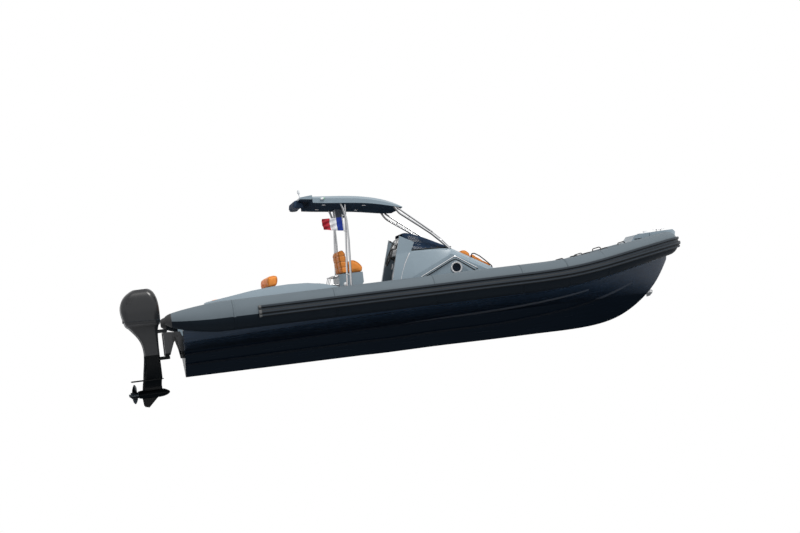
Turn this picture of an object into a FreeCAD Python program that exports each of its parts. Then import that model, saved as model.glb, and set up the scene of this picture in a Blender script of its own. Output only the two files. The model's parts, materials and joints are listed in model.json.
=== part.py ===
import FreeCAD, Part
import math
import os

V = FreeCAD.Vector
os.makedirs("parts", exist_ok=True)

# Frame: +X to the bow, +Y to port, +Z up; the origin is at the transom, on the centreline, at the waterline.
# All sizes are in millimetres.

# collar
TUBE_R = 280.0
NOSE_R = 235.0
TUBE_Y = 1360.0
TUBE_Z = 555.0
STRAIGHT_X = 5200.0
SKIN_GAP = 0.4
# arcs of the collar from the straight run to the nose: radius, turn and lean in degrees
COLLAR_ARCS = [(28660.0, 3.0, 0.0), (6500.0, 14.5, 42.0), (3500.0, 23.5, -5.0)]
# stern cones: X, centre height, radius
STERN_CONE = [(700.0, 555.0, 280.0), (430.0, 558.0, 254.0), (160.0, 567.0, 214.0), (-90.0, 580.0, 163.0),
              (-250.0, 594.0, 110.0), (-310.0, 600.0, 70.0)]

# collar's nose on the centreline: its axis ahead and above, its front and its crown
NOSE_AXIS_X = 9819.0
NOSE_AXIS_Z = 934.0
NOSE_FRONT = NOSE_AXIS_X + NOSE_R
CROWN_Z = NOSE_AXIS_Z + NOSE_R
# heights of the bow fittings over the crown
MOULDING_RISE = 34.0
PLATE_RISE = 33.0
BOW_CLEAT_RISE = 81.0

# cockpit
SOLE_Z = 325.0
WELL_Y = 970.0
BENCH_X0 = 560.0
COCKPIT_X1 = 6300.0
MOTOR_WELL_Z = 270.0
FOREDECK_Z = 600.0

# engines
ENGINE_Y = 390.0
TILT_X = -80.0
TILT_Z = 330.0
STEER_X = -300.0
PROP_Z = -720.0
PROP_R = 200.0

# helm
WHEEL_C = V(4160.0, -290.0, 1310.0)
WHEEL_R = 175.0
WHEEL_LEAN = 25.0


def write(name, shape):
    shape.exportStep("parts/" + name + ".step")


def fuse(shapes):
    out = shapes[0]
    if len(shapes) > 1:
        out = out.fuse(shapes[1:])
    return out


def pair(shape):
    return [shape, mirrored(shape)]


def largest(shape):
    """The main solid of a cut, without the offcuts."""
    return max(shape.Solids, key=lambda s: s.Volume)


def mirrored(shape):
    return shape.mirror(V(0, 0, 0), V(0, 1, 0))


def face_of(points):
    wire = Part.makePolygon([V(*p) for p in points] + [V(*points[0])])
    return Part.Face(wire)


def slab_y(outline, y0, y1):
    """Solid of an XZ outline between two Y values."""
    return face_of([(x, y0, z) for x, z in outline]).extrude(V(0, y1 - y0, 0))


def slab_z(outline, z0, z1):
    """Solid of an XY outline between two heights."""
    return face_of([(x, y, z0) for x, y in outline]).extrude(V(0, 0, z1 - z0))


def box(x0, x1, y0, y1, z0, z1):
    return Part.makeBox(x1 - x0, y1 - y0, z1 - z0, V(x0, y0, z0))


def rounded(shape, radius, pick=None):
    """Fillet of the edges that pick accepts."""
    edges = [e for e in shape.Edges if pick is None or pick(e)]
    return shape.makeFillet(radius, edges)


def along(axis):
    """Pick of the straight edges that run along one axis, 0 for X, 1 for Y or 2 for Z."""
    def pick(edge):
        a = edge.Vertexes[0].Point
        b = edge.Vertexes[-1].Point
        d = b - a
        return d.Length > 1 and abs(d[axis]) > 0.999 * d.Length
    return pick


def rod(points, radius, bend=60.0):
    """Round bar along points, with tangent arcs of the bend radius at the corners."""
    pts = [V(*p) for p in points]
    edges = []
    start = pts[0]
    for i in range(1, len(pts) - 1):
        u = (pts[i - 1] - pts[i]).normalize()
        w = (pts[i + 1] - pts[i]).normalize()
        half = u.getAngle(w) / 2
        if abs(half - math.pi / 2) < 0.002:
            continue
        room = 0.45 * min((pts[i - 1] - pts[i]).Length, (pts[i + 1] - pts[i]).Length)
        cut = min(bend / math.tan(half), room)
        r = cut * math.tan(half)
        a = pts[i] + u * cut
        b = pts[i] + w * cut
        bis = (u + w).normalize()
        mid = pts[i] + bis * (r / math.sin(half) - r)
        edges.append(Part.LineSegment(start, a).toShape())
        edges.append(Part.Arc(a, mid, b).toShape())
        start = b
    edges.append(Part.LineSegment(start, pts[-1]).toShape())
    path = Part.Wire(edges)
    ring = Part.Wire([Part.makeCircle(radius, pts[0], pts[1] - pts[0])])
    return path.makePipeShell([ring], True, True)


def fair(wires):
    """Smooth solid through closed wires."""
    return Part.makeLoft(wires, True, False, False, 3)


def disc(centre, axis, radius, length):
    return Part.makeCylinder(radius, length, V(*centre), V(*axis))


def rounded_wire(x0, x1, hw, r, z):
    """Rounded rectangle in a level plane, centred on Y = 0."""
    r = min(r, 0.48 * (x1 - x0), 0.96 * hw)
    k = r * (1 - math.sqrt(0.5))
    c = [V(x0 + r, -hw, z), V(x1 - r, -hw, z), V(x1, -hw + r, z), V(x1, hw - r, z),
         V(x1 - r, hw, z), V(x0 + r, hw, z), V(x0, hw - r, z), V(x0, -hw + r, z)]
    m = [V(x1 - k, -hw + k, z), V(x1 - k, hw - k, z), V(x0 + k, hw - k, z), V(x0 + k, -hw + k, z)]
    edges = []
    for i in range(4):
        a = c[2 * i]
        b = c[2 * i + 1]
        n = c[(2 * i + 2) % 8]
        edges.append(Part.LineSegment(a, b).toShape())
        edges.append(Part.Arc(b, m[i], n).toShape())
    return Part.Wire(edges)


# Collar path.

def heading_frame(t):
    """Level outward direction and upward direction of a section that faces along t."""
    out = t.cross(V(0, 0, 1)).normalize()
    up = out.cross(t).normalize()
    return out, up


def arc_point(p, t, n, r, f):
    q = p + t * (r * math.sin(f)) + n * (r * (1 - math.cos(f)))
    d = t * math.cos(f) + n * math.sin(f)
    return q, d


def collar_path():
    """Start, direction, inward normal, radius and turn of each arc on the starboard side, then the nose arc."""
    p = V(STRAIGHT_X, -TUBE_Y, TUBE_Z)
    t = V(1, 0, 0)
    arcs = []
    for r, turn, lean in COLLAR_ARCS:
        level = V(0, 0, 1).cross(t).normalize()
        up = t.cross(level)
        a = math.radians(lean)
        n = level * math.cos(a) + up * math.sin(a)
        f = math.radians(turn)
        arcs.append((p, t, n, r, f))
        p, t = arc_point(p, t, n, r, f)
    psi = math.asin(t.y)
    nose_r = abs(p.y) / math.cos(psi)
    fwd = V(t.x, 0, t.z).normalize()
    n = fwd * (-math.sin(psi)) + V(0, 1, 0) * math.cos(psi)
    arcs.append((p, t, n, nose_r, math.pi - 2 * psi))
    return arcs


ARCS = collar_path()


def collar_at(x):
    """Centre, direction and radius of the starboard collar at a station X."""
    if x <= STRAIGHT_X:
        return V(x, -TUBE_Y, TUBE_Z), V(1, 0, 0), TUBE_R
    for i, (p, t, n, r, f) in enumerate(ARCS):
        lo = 0.0
        hi = f if i < 3 else f / 2
        if arc_point(p, t, n, r, hi)[0].x < x and i < 3:
            continue
        for _ in range(50):
            mid = (lo + hi) / 2
            if arc_point(p, t, n, r, mid)[0].x < x:
                lo = mid
            else:
                hi = mid
        q, d = arc_point(p, t, n, r, lo)
        return q, d, collar_radius(i, lo / f)
    raise ValueError("no collar at this station")


def collar_radius(i, share):
    """Radius along arc i; the taper runs over the two middle arcs."""
    if i == 0:
        return TUBE_R
    if i == 3:
        return NOSE_R
    lengths = [ARCS[k][3] * ARCS[k][4] for k in (1, 2)]
    done = share * lengths[0] if i == 1 else lengths[0] + share * lengths[1]
    return TUBE_R + (NOSE_R - TUBE_R) * done / sum(lengths)


def ring(q, d, r):
    out, up = heading_frame(d)
    m = FreeCAD.Matrix(out.x, up.x, d.x, q.x, out.y, up.y, d.y, q.y, out.z, up.z, d.z, q.z, 0, 0, 0, 1)
    c = Part.makeCircle(r)
    c.Placement = FreeCAD.Placement(m)
    return Part.Wire([c])


def tube_side(grow):
    """Starboard collar from the stern cone to the nose seam, as solids to be fused."""
    cone = [ring(V(x, -TUBE_Y, z), V(1, 0, 0), r + grow) for x, z, r in STERN_CONE]
    solids = [fair(cone)]
    solids.append(disc((STERN_CONE[0][0], -TUBE_Y, TUBE_Z), (1, 0, 0), TUBE_R + grow,
                       STRAIGHT_X - STERN_CONE[0][0]))
    p, t, n, r, f = ARCS[0]
    disk = Part.Face(ring(p, t, TUBE_R + grow))
    solids.append(disk.revolve(p + n * r, t.cross(n), math.degrees(f)))
    rings = []
    for i, steps in ((1, 3), (2, 4)):
        p, t, n, r, f = ARCS[i]
        for k in range(0 if i == 1 else 1, steps + 1):
            q, d = arc_point(p, t, n, r, f * k / steps)
            rings.append(ring(q, d, collar_radius(i, k / steps) + grow))
    solids.append(fair(rings))
    return solids


def tube_nose(grow):
    p, t, n, r, f = ARCS[3]
    disk = Part.Face(ring(p, t, NOSE_R + grow))
    return disk.revolve(p + n * r, t.cross(n), math.degrees(f))


side = tube_side(0.0)
starboard_tube = fuse(side)
nose_tube = tube_nose(0.0)
write("tube_starboard", starboard_tube)
write("tube_port", mirrored(starboard_tube))
write("tube_bow", nose_tube)
TOOL_SIDE = fuse(tube_side(SKIN_GAP))
TOOL_NOSE = tube_nose(SKIN_GAP)
TOOLS = [TOOL_SIDE, mirrored(TOOL_SIDE), TOOL_NOSE]

# Rub strake.

# Profile: distance out from the tube's side, height from its widest line.
STRAKE = [(-60, -108), (0, -108), (16, -104), (28, -92), (30, -70), (20, -59), (20, -53), (40, -47), (47, -30),
          (47, 2), (40, 17), (9, 23), (7, 54), (20, 59), (27, 72), (26, 92), (14, 105), (0, 108), (-60, 108)]
STRAKE_X0 = 1400.0


def strake_points(q, d, r):
    out, up = heading_frame(d)
    return [q + out * (r + a) + up * b for a, b in STRAKE]


def strake_wire(q, d, r):
    pts = strake_points(q, d, r)
    return Part.makePolygon(pts + [pts[0]])


straight = Part.Face(strake_wire(V(STRAKE_X0, -TUBE_Y, TUBE_Z), V(1, 0, 0), TUBE_R))
straight = straight.extrude(V(STRAIGHT_X - STRAKE_X0, 0, 0))
p, t, n, r, f = ARCS[0]
bend = Part.Face(strake_wire(p, t, TUBE_R)).revolve(p + n * r, t.cross(n), math.degrees(f))
sections = []
for i, steps in ((1, 3), (2, 4)):
    p, t, n, r, f = ARCS[i]
    for k in range(0 if i == 1 else 1, steps + 1):
        q, d = arc_point(p, t, n, r, f * k / steps)
        sections.append(strake_wire(q, d, collar_radius(i, k / steps)))
taper = fair(sections)
p, t, n, r, f = ARCS[3]
sections = []
for k in range(9):
    q, d = arc_point(p, t, n, r, f * k / 8)
    sections.append(strake_wire(q, d, NOSE_R))
round_bow = fair(sections)
strake_side = fuse([straight, bend, taper])
strake_side = strake_side.cut(TOOL_SIDE)
round_bow = round_bow.cut(TOOL_NOSE)
write("rub_strake", Part.Compound([strake_side, mirrored(strake_side), round_bow]))
print("collar and strake done")

# Hull.

# stations: X, keel height, chine inner y and z, chine outer y and z
HULL = [
    (0.0, -500.0, 1158.0, 148.0, 1230.0, 160.0),
    (3500.0, -513.0, 1156.0, 222.0, 1230.0, 236.0),
    (4500.0, -517.0, 1154.0, 234.0, 1228.0, 248.0),
    (5500.0, -521.0, 1148.0, 241.0, 1222.0, 255.0),
    (6450.0, -527.0, 1118.0, 249.0, 1192.0, 263.0),
    (7300.0, -531.0, 1052.0, 280.0, 1126.0, 295.0),
    (8000.0, -517.0, 940.0, 354.0, 1012.0, 370.0),
    (8550.0, -430.0, 805.0, 452.0, 874.0, 470.0),
    (9000.0, -232.0, 628.0, 536.0, 692.0, 554.0),
    (9350.0, 25.0, 430.0, 600.0, 488.0, 617.0),
    (9620.0, 330.0, 232.0, 648.0, 283.0, 662.0),
    (9800.0, 620.0, 50.0, 682.0, 86.0, 692.0),
]
# the run of the hull aft of this station is straight
FAIR = 1
# top of the hull inside the collar, in collar radii up from its centre
TOP_UP = 0.5
KEEL_HALF = 14.0


def hull_section(row):
    x, kz, yi, zi, yo, zo = row
    if x < 9700:
        c, d, r = collar_at(max(x, 0.0))
        sy = -c.y - 0.22 * r
        sz = c.z - 0.86 * r
        top = c.z + TOP_UP * r
    else:
        sy = yo + 34
        sz = zo + 30
        top = 1050.0
    pts = [(-KEEL_HALF, kz), (KEEL_HALF, kz), (yi, zi), (yo, zo), (sy, sz), (sy, top)]
    full = pts + [(-y, z) for y, z in reversed(pts[2:])]
    vs = [V(x, y, z) for y, z in full]
    return Part.makePolygon(vs + [vs[0]])


def run_of(wires):
    """Solid through a wire per station: straight aft, fair forward."""
    aft = Part.makeLoft(wires[:FAIR + 1], True, True)
    return aft.fuse(fair(wires[FAIR:]))


hull = run_of([hull_section(row) for row in HULL])

# spray rails: share of the way from keel to chine at each station, width at each station, forward end
RAILS = [
    ([0.335, 0.335, 0.335, 0.34, 0.37, 0.45, 0.53, 0.6, 0.65, 0.68, 0.7, 0.7],
     [62, 62, 62, 62, 60, 54, 46, 36, 24, 16, 8, 4], 8900.0),
    ([0.64, 0.645, 0.65, 0.68, 0.72, 0.78, 0.83, 0.86, 0.88, 0.88, 0.88, 0.88],
     [62, 62, 62, 60, 54, 42, 30, 20, 14, 8, 6, 4], 7900.0),
]
for shares, widths, end in RAILS:
    wires = []
    for row, share, w in zip(HULL, shares, widths):
        x, kz, yi, zi = row[:4]
        y0 = KEEL_HALF + share * (yi - KEEL_HALF)
        z0 = kz + share * (zi - kz)
        slope = (zi - kz) / (yi - KEEL_HALF)
        pts = [V(x, y0 - 6, z0 - 6 * slope + 14), V(x, y0, z0), V(x, y0 + w, z0),
               V(x, y0 + w, z0 + slope * w + 14)]
        wires.append(Part.makePolygon(pts + [pts[0]]))
    rail = run_of(wires).common(box(-10, end, 0, 1500, -700, 700))
    for one in pair(rail):
        hull = hull.fuse(one)

motor_well = box(-50, BENCH_X0 + 1, -950, 950, MOTOR_WELL_Z, 1300)
cockpit = slab_z([(BENCH_X0, -WELL_Y), (5600, -WELL_Y), (COCKPIT_X1, -930), (COCKPIT_X1, 930), (5600, WELL_Y),
                  (BENCH_X0, WELL_Y)], SOLE_Z, 1300)
fore = [(6290, -930), (7200, -900), (8000, -745), (8450, -560), (8450, 560), (8000, 745), (7200, 900), (6290, 930)]
foredeck = slab_z(fore, FOREDECK_Z, 1400)
locker = box(8622, 8978, -228, 228, 520, 1400)


def deck_top(x):
    c, d, r = collar_at(x)
    return c.z + TOP_UP * r


LID_X0 = 8600.0
LID_X1 = 9000.0
LID_T = 24.0
lid_seat = slab_y([(LID_X0, deck_top(LID_X0) - LID_T), (LID_X1, deck_top(LID_X1) - LID_T), (LID_X1, 1400),
                   (LID_X0, 1400)], -250, 250)
for tool in [motor_well, cockpit, foredeck, locker, lid_seat]:
    hull = hull.cut(tool)
hull_top = hull
for tool in TOOLS:
    hull = hull.cut(tool)
hull = largest(hull)
write("hull", hull)
under = hull.common(box(-500, 11000, -2000, 2000, -900, 0))
print("displacement m3", round(under.Volume / 1e9, 3))

# Decks and mouldings fixed to the hull.

matting = []
for x0, x1, y0, y1 in ((2470, 3130, -930, 930), (3700, 3940, -930, 930), (3300, 3690, -930, -560),
                       (3300, 3690, 560, 930), (3945, 4110, -600, 600), (3970, 6200, -925, -800),
                       (3970, 6200, 800, 925)):
    matting.append(box(x0, x1, y0, y1, SOLE_Z, SOLE_Z + 6))
write("deck_matting", Part.Compound(matting))

# aft coaming: upper edge from the stern forward
COAMING = [(430, 690), (455, 840), (600, 868), (900, 905), (1350, 965), (1750, 996), (2050, 1003), (2400, 985),
           (2700, 935), (2950, 860), (3090, 780), (3120, 700), (3120, 690)]
coaming = slab_y(COAMING, -1215, -985)
DECK_EDGE = TUBE_Z + 0.5 * TUBE_R + 0.4
lean = slab_z([(0, -1400), (0, -985), (4000, -985), (4000, -1400)], DECK_EDGE, 1100)
coaming = coaming.common(lean)
wedge = Part.Face(Part.makePolygon([V(0, -1300, 690), V(0, -1300, 1100), V(0, -1105, 1100), V(0, -1215, 690),
                                    V(0, -1300, 690)])).extrude(V(4000, 0, 0))
coaming = coaming.cut(wedge).cut(TOOL_SIDE)
coaming = largest(coaming)
write("aft_coamings", Part.Compound(pair(coaming)))

bench = slab_y([(BENCH_X0 + 10, SOLE_Z), (BENCH_X0 + 10, 770), (BENCH_X0 + 40, 800), (1540, 800), (1600, 985),
                (1800, 1000), (1862, 735), (2360, 715), (2400, 680), (2340, SOLE_Z)], -900, 900)
write("aft_bench", bench)

sunpad = box(585, 1535, -860, 860, 800.4, 890)
sunpad = rounded(sunpad, 34)
bolster = slab_y([(1700, 992.8), (1880, 1006.3), (1925, 1215), (1712, 1200)], -750, 750)
bolster = rounded(bolster, 50, along(1))
seat = [(1885, 734.4), (2385, 714.3), (2385, 824), (1885, 844)]
seat_pads = [rounded(slab_y(seat, y0, y1), 34) for y0, y1 in ((-880, -300), (-290, 290), (300, 880))]
write("aft_cushions", Part.Compound([sunpad, bolster] + seat_pads))

base = slab_y([(3150, SOLE_Z), (3115, 900), (3115, 1095), (3590, 1095), (3590, 900), (3545, 840),
               (3545, SOLE_Z)], -440, 440)
base = rounded(base, 26, lambda e: along(2)(e) and e.BoundBox.XMin > 3500)
recess = box(3500, 3600, -340, 340, 930, 1060)
base = base.cut(recess)
write("helm_seat_base", base)

cushions = []
for y0, y1 in ((-435, -8), (8, 435)):
    pad = slab_y([(3305, 1095.4), (3588, 1095.4), (3603, 1185), (3520, 1292), (3410, 1352), (3305, 1305)], y0, y1)
    cushions.append(rounded(pad, 22, along(1)))
    back = slab_y([(3188, 1095.4), (3296, 1095.4), (3299, 1300), (3290, 1490), (3250, 1565), (3176, 1556),
                   (3154, 1480)], y0, y1)
    cushions.append(rounded(back, 18, along(1)))
write("helm_cushions", Part.Compound(cushions))

rail = rod([(3116, -400, 1060), (2985, -400, 1068), (2985, 400, 1068), (3116, 400, 1060)], 12, 60)
lower = rod([(3130, -400, 905), (2930, -400, 905), (2930, 400, 905), (3130, 400, 905)], 10, 60)
posts = [rod([(2930, y, 905), (2985, y, 1068)], 8) for y in (-250, 0, 250)]
rack = fuse([rail, lower] + posts).cut(base)
rack = largest(rack)
write("seat_rail", rack)
print("seats done")

# Console and cabin.

# X, base y, crease y and z, shoulder y and z, top y and z
CONSOLE = [
    (3800.0, 715.0, 740.0, 520.0, 660.0, 1350.0, 620.0, 1375.0),
    (4540.0, 735.0, 765.0, 885.0, 685.0, 1345.0, 640.0, 1372.0),
    (5300.0, 720.0, 738.0, 1225.0, 690.0, 1300.0, 580.0, 1352.0),
    (5500.0, 705.0, 722.0, 1110.0, 680.0, 1180.0, 570.0, 1240.0),
    (6120.0, 600.0, 620.0, 780.0, 585.0, 830.0, 480.0, 885.0),
    (6280.0, 560.0, 575.0, 690.0, 545.0, 720.0, 440.0, 745.0),
]
AFT_X = 3955.0
AFT_LEAN = 0.28
WALL = 35.0
# the face between the cheeks stands forward of them
RECESS = 170.0
CHEEK_Y = 620.0
FACE_X = AFT_X + RECESS


def console_wire(row, inset):
    x, by, cy, cz, sy, sz, ty, tz = row
    pts = [(by - inset, SOLE_Z - (60 if inset else 0)), (cy - inset, cz), (sy - inset, sz - inset),
           (ty - inset, tz - inset)]
    full = pts + [(-y, z) for y, z in reversed(pts)]
    vs = [V(x, y, z) for y, z in full]
    return Part.makePolygon(vs + [vs[0]])


def aft_plane_box(offset):
    """Everything aft of the leaning aft face, moved forward by the offset."""
    z0 = SOLE_Z - 200
    z1 = 2200.0
    x0 = AFT_X + AFT_LEAN * (z0 - SOLE_Z) + offset
    x1 = AFT_X + AFT_LEAN * (z1 - SOLE_Z) + offset
    return slab_y([(3000, z0), (x0, z0), (x1, z1), (3000, z1)], -1000, 1000)


shell = Part.makeLoft([console_wire(row, 0.0) for row in CONSOLE], True, True)
inner_rows = [list(row) for row in CONSOLE]
inner_rows[-1][0] -= WALL
hollow = Part.makeLoft([console_wire(row, WALL) for row in inner_rows], True, True)
recess = aft_plane_box(RECESS).common(box(3000, 5000, -CHEEK_Y, CHEEK_Y, SOLE_Z - 1, 1500))
shell = shell.cut(aft_plane_box(0.0)).cut(recess)
hollow = hollow.cut(aft_plane_box(RECESS + WALL))
console = shell.cut(hollow)
# raised cheek panels on the sides
proud = Part.makeLoft([console_wire(row, -12.0) for row in CONSOLE], True, True)
cheek = slab_y([(3900, SOLE_Z), (4170, SOLE_Z), (4190, 700), (4251, 842), (4383, 1169), (4475, 1338), (3900, 1338)],
               -900, -660)
cheek = cheek.common(proud).cut(aft_plane_box(0.0))
console = console.fuse(pair(cheek))
wing = slab_y([(4235, 1330), (4247, 1363), (4346, 1686), (4385, 1660), (4550, 1570), (4613, 1533), (4548, 1400),
               (4530, 1330)], -680, -636)
console = console.fuse(pair(wing))
console = largest(console)
DOOR_Y0 = 60.0
DOOR_Y1 = 600.0
DOOR_Z0 = 420.0
DOOR_Z1 = 1290.0


def on_aft(y, z, depth):
    """Point on the leaning aft face at a height, with a depth along the face's forward normal."""
    k = math.sqrt(1 + AFT_LEAN ** 2)
    return (FACE_X + AFT_LEAN * (z - SOLE_Z) + depth / k, y, z - AFT_LEAN * depth / k)


def aft_bar(y, depth, z0, z1, radius):
    """Round bar parallel to the aft face."""
    k = math.sqrt(1 + AFT_LEAN ** 2)
    return disc(on_aft(y, z0, depth), (AFT_LEAN, 0, 1), radius, (z1 - z0) * k)


def aft_panel(y0, y1, z0, z1, d0, d1):
    """Flat panel parallel to the aft face."""
    k = math.sqrt(1 + AFT_LEAN ** 2)
    corners = [on_aft(y0, z0, d0), on_aft(y1, z0, d0), on_aft(y1, z1, d0), on_aft(y0, z1, d0)]
    return face_of(corners).extrude(V((d1 - d0) / k, 0, -AFT_LEAN * (d1 - d0) / k))


console = console.cut(aft_panel(DOOR_Y0, DOOR_Y1, DOOR_Z0, DOOR_Z1, -20, 80))
PORT_X = 5370.0
PORT_Z = 950.0
for y in (-900, 500):
    console = console.cut(disc((PORT_X, y, PORT_Z), (0, 1, 0), 92, 400))
write("console", console)

door = aft_panel(DOOR_Y0 + 6, DOOR_Y1 - 6, DOOR_Z0 + 6, DOOR_Z1 - 6, 0, 26)
write("cabin_door", door)
k0 = on_aft(DOOR_Y0 + 60, 900, 0)
handle = rod([k0, (k0[0] - 45, k0[1], k0[2] + 12), (k0[0] - 10, k0[1], k0[2] + 135), (k0[0] + 34, k0[1], k0[2] + 122)],
             8, 18)
front = aft_panel(-900, 900, 400, 1340, 0.0, 200)
handle = handle.cut(front)
fittings = [largest(handle)]
hinges = []
HINGE_Y = DOOR_Y1 - 3
HINGE_D = -9.0
for zc in (560, 1150):
    pin = aft_bar(HINGE_Y, HINGE_D, zc - 56, zc + 56, 5)
    lugs = []
    for z0, z1 in ((zc - 50, zc - 41), (zc + 41, zc + 50)):
        lugs.append(aft_bar(HINGE_Y, HINGE_D, z0, z1, 8.5))
        lugs.append(aft_panel(HINGE_Y, CHEEK_Y, z0, z1, -17.5, 0))
    hinges.append(fuse([pin] + lugs))
    knuckle = aft_bar(HINGE_Y, HINGE_D, zc - 40, zc + 40, 9)
    knuckle = knuckle.fuse([aft_panel(DOOR_Y1 - 16, HINGE_Y, zc - 40, zc + 40, -12, 0),
                            aft_panel(DOOR_Y1 - 60, DOOR_Y1 - 12, zc - 40, zc + 40, -3, 0)])
    fittings.append(knuckle.cut(aft_bar(HINGE_Y, HINGE_D, zc - 60, zc + 60, 5.4)))
write("door_fittings", Part.Compound(fittings))

# instrument moulding on the aft face
DASH_LOW = (4295.0, 1420.0)
DASH_TOP = (4440.0, 1675.0)
dash = slab_y([(4310, 1335), DASH_LOW, DASH_TOP, (4500, 1690), (4560, 1400), (4400, 1376)], -600, 600)
sides = face_of([(4200, -600, 1330), (4200, 600, 1330), (4200, 385, 1692), (4200, -385, 1692)])
dash = dash.common(sides.extrude(V(500, 0, 0)))
dash = dash.cut(shell)
dash = largest(dash)
write("dash", dash)
DASH_DX = DASH_TOP[0] - DASH_LOW[0]
DASH_DZ = DASH_TOP[1] - DASH_LOW[1]


def on_dash(y, u, out):
    """Point on the sloping instrument face: share of its height, distance out of it."""
    k = math.hypot(DASH_DX, DASH_DZ)
    return V(DASH_LOW[0] + DASH_DX * u - DASH_DZ / k * out, y, DASH_LOW[1] + DASH_DZ * u + DASH_DX / k * out)


def dash_plate(y0, y1, u0, u1, t0, t1):
    a = [on_dash(y0, u0, t0), on_dash(y1, u0, t0), on_dash(y1, u1, t0), on_dash(y0, u1, t0)]
    f = Part.Face(Part.makePolygon(a + [a[0]]))
    return f.extrude(on_dash(y0, u0, t1) - a[0])


screens = [dash_plate(y0, y1, 0.18, 0.84, 0.0, 14) for y0, y1 in ((-400, -70), (-40, 290))]
write("screens", Part.Compound(screens))
switches = [dash_plate(330, 500, 0.3, 0.72, 0.0, 10)]
lever_base = box(0, 90, -45, 45, 0, 50)
tilt = -math.degrees(math.atan2(DASH_DZ, DASH_DX))
lever_base.Placement = FreeCAD.Placement(on_dash(-490, 0.12, 0.2), FreeCAD.Rotation(V(0, 1, 0), tilt))
lever = rod([tuple(on_dash(-490, 0.22, 30)), tuple(on_dash(-490, 0.34, 190))], 9)
knob = Part.makeCylinder(15, 90, on_dash(-490, 0.34, 185) - V(0, 45, 0), V(0, 1, 0))
throttle = lever_base.cut(dash).fuse([lever, knob])
write("throttle", Part.Compound([throttle] + switches))

# windscreen: X, base y and z, crest y and z, corner radius
SCREEN = [(4430.0, 640.0, 1384.0, 392.0, 1728.0, 110.0), (4492.0, 638.0, 1384.0, 402.0, 1744.0, 110.0),
          (4640.0, 628.0, 1381.0, 425.0, 1706.0, 105.0), (4872.0, 606.0, 1374.0, 455.0, 1602.0, 80.0),
          (5147.0, 577.0, 1366.0, 505.0, 1453.0, 40.0), (5298.0, 561.0, 1358.0, 546.0, 1374.0, 8.0)]
GLASS_T = 9.0


def bend_at(a, b, c, r):
    """Start, middle and end of the arc that rounds the corner b between a and c."""
    u = (a - b).normalize()
    w = (c - b).normalize()
    half = u.getAngle(w) / 2
    cut = r / math.tan(half)
    mid = b + (u + w).normalize() * (r / math.sin(half) - r)
    return b + u * cut, mid, b + w * cut


def screen_wire(row, inset):
    x, by, bz, ty, tz, r = row
    low = bz - (60 if inset else 0)
    r = max(r - inset, 2.0)
    a = V(x, -by + inset, low)
    b = V(x, -ty + 0.6 * inset, tz - inset)
    c = V(x, ty - 0.6 * inset, tz - inset)
    d = V(x, by - inset, low)
    s0, m0, e0 = bend_at(a, b, c, r)
    s1, m1, e1 = bend_at(b, c, d, r)
    return Part.Wire([Part.LineSegment(a, s0).toShape(), Part.Arc(s0, m0, e0).toShape(),
                      Part.LineSegment(e0, s1).toShape(), Part.Arc(s1, m1, e1).toShape(),
                      Part.LineSegment(e1, d).toShape(), Part.LineSegment(d, a).toShape()])


glass = fair([screen_wire(row, 0.0) for row in SCREEN])
inner = fair([screen_wire(row, GLASS_T) for row in SCREEN])
inner = inner.common(box(4000, 5270, -900, 900, 1000, 2000))
glass = glass.cut(inner)
cutter = slab_y([(4000, 1300), (4545, 1300), (4545, 1384), (4520, 1470), (4480, 1560), (4455, 1640), (4446, 1700),
                 (4440, 1900), (4000, 1900)], -900, 900)
glass = glass.cut(cutter)
glass = glass.cut(shell).cut(Part.Compound(pair(wing)))
glass = largest(glass)
write("windscreen", glass)
trim = rod([(4560, -640, 1389), (5345, -572, 1366), (5345, 572, 1366), (4560, 640, 1389)], 10, 40)
trim = trim.cut(shell).cut(glass).cut(Part.Compound(pair(wing)))
trim = largest(trim)
write("windscreen_trim", trim)

# portholes
ring_out = disc((PORT_X, -748, PORT_Z), (0, 1, 0), 112, 60).cut(disc((PORT_X, -800, PORT_Z), (0, 1, 0), 84, 200))
ring_out = ring_out.cut(shell.cut(disc((PORT_X, -900, PORT_Z), (0, 1, 0), 91.6, 400)))
ring_out = largest(ring_out)
pane = disc((PORT_X, -735, PORT_Z), (0, 1, 0), 83.6, 8)
write("porthole_rings", Part.Compound(pair(ring_out)))
write("porthole_panes", Part.Compound(pair(pane)))

# chevron handrails on the cabin sides
rail = rod([(4610, -752, 806), (4600, -800, 822), (5350, -800, 1165), (5770, -796, 880), (5770, -700, 872)], 12, 45)
post = rod([(5000, -800, 1004), (5000, -700, 1004)], 9)
rail = rail.fuse([post]).cut(shell)
rail = largest(rail)
write("cabin_handrails", Part.Compound(pair(rail)))

# cushions on the sloping front of the cabin
k = (CONSOLE[4][7] - CONSOLE[3][7]) / (CONSOLE[4][0] - CONSOLE[3][0])


def on_slope(x, out):
    n = math.sqrt(1 + k * k)
    z = CONSOLE[3][7] + k * (x - CONSOLE[3][0])
    return (x - k / n * out, z + out / n)


head = slab_y([on_slope(5520, 0.4), on_slope(5706, 0.4), (5733, 1182), (5652, 1262), (5574, 1273), (5530, 1245)],
              -430, 430)
head = rounded(head, 14, along(1))
rest = slab_y([on_slope(5712, 0.4), on_slope(6112, 0.4), (6122, 920), (5953, 1034), (5752, 1184)],
              -455, 455)
rest = rounded(rest, 10, along(1))
pads = [head, rest]
for outline in ([(6300, -840), (7180, -820), (7180, -8), (6300, -8)], [(6300, 8), (7180, 8), (7180, 820), (6300, 840)],
                [(7196, -818), (7900, -690), (8360, -510), (8360, 510), (7900, 690), (7196, 818)]):
    pads.append(rounded(slab_z(outline, FOREDECK_Z + 0.4, FOREDECK_Z + 95), 28))
write("fore_cushions", Part.Compound(pads))
guard = rod([(5735, -500, 1085), (5745, -500, 1186), (5803, -500, 1183), (5896, -500, 1123), (5985, -500, 1040),
             (6112, -497, 907), (6124, -495, 850)], 11, 40)
guard = guard.cut(shell)
guard = largest(guard)
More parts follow.
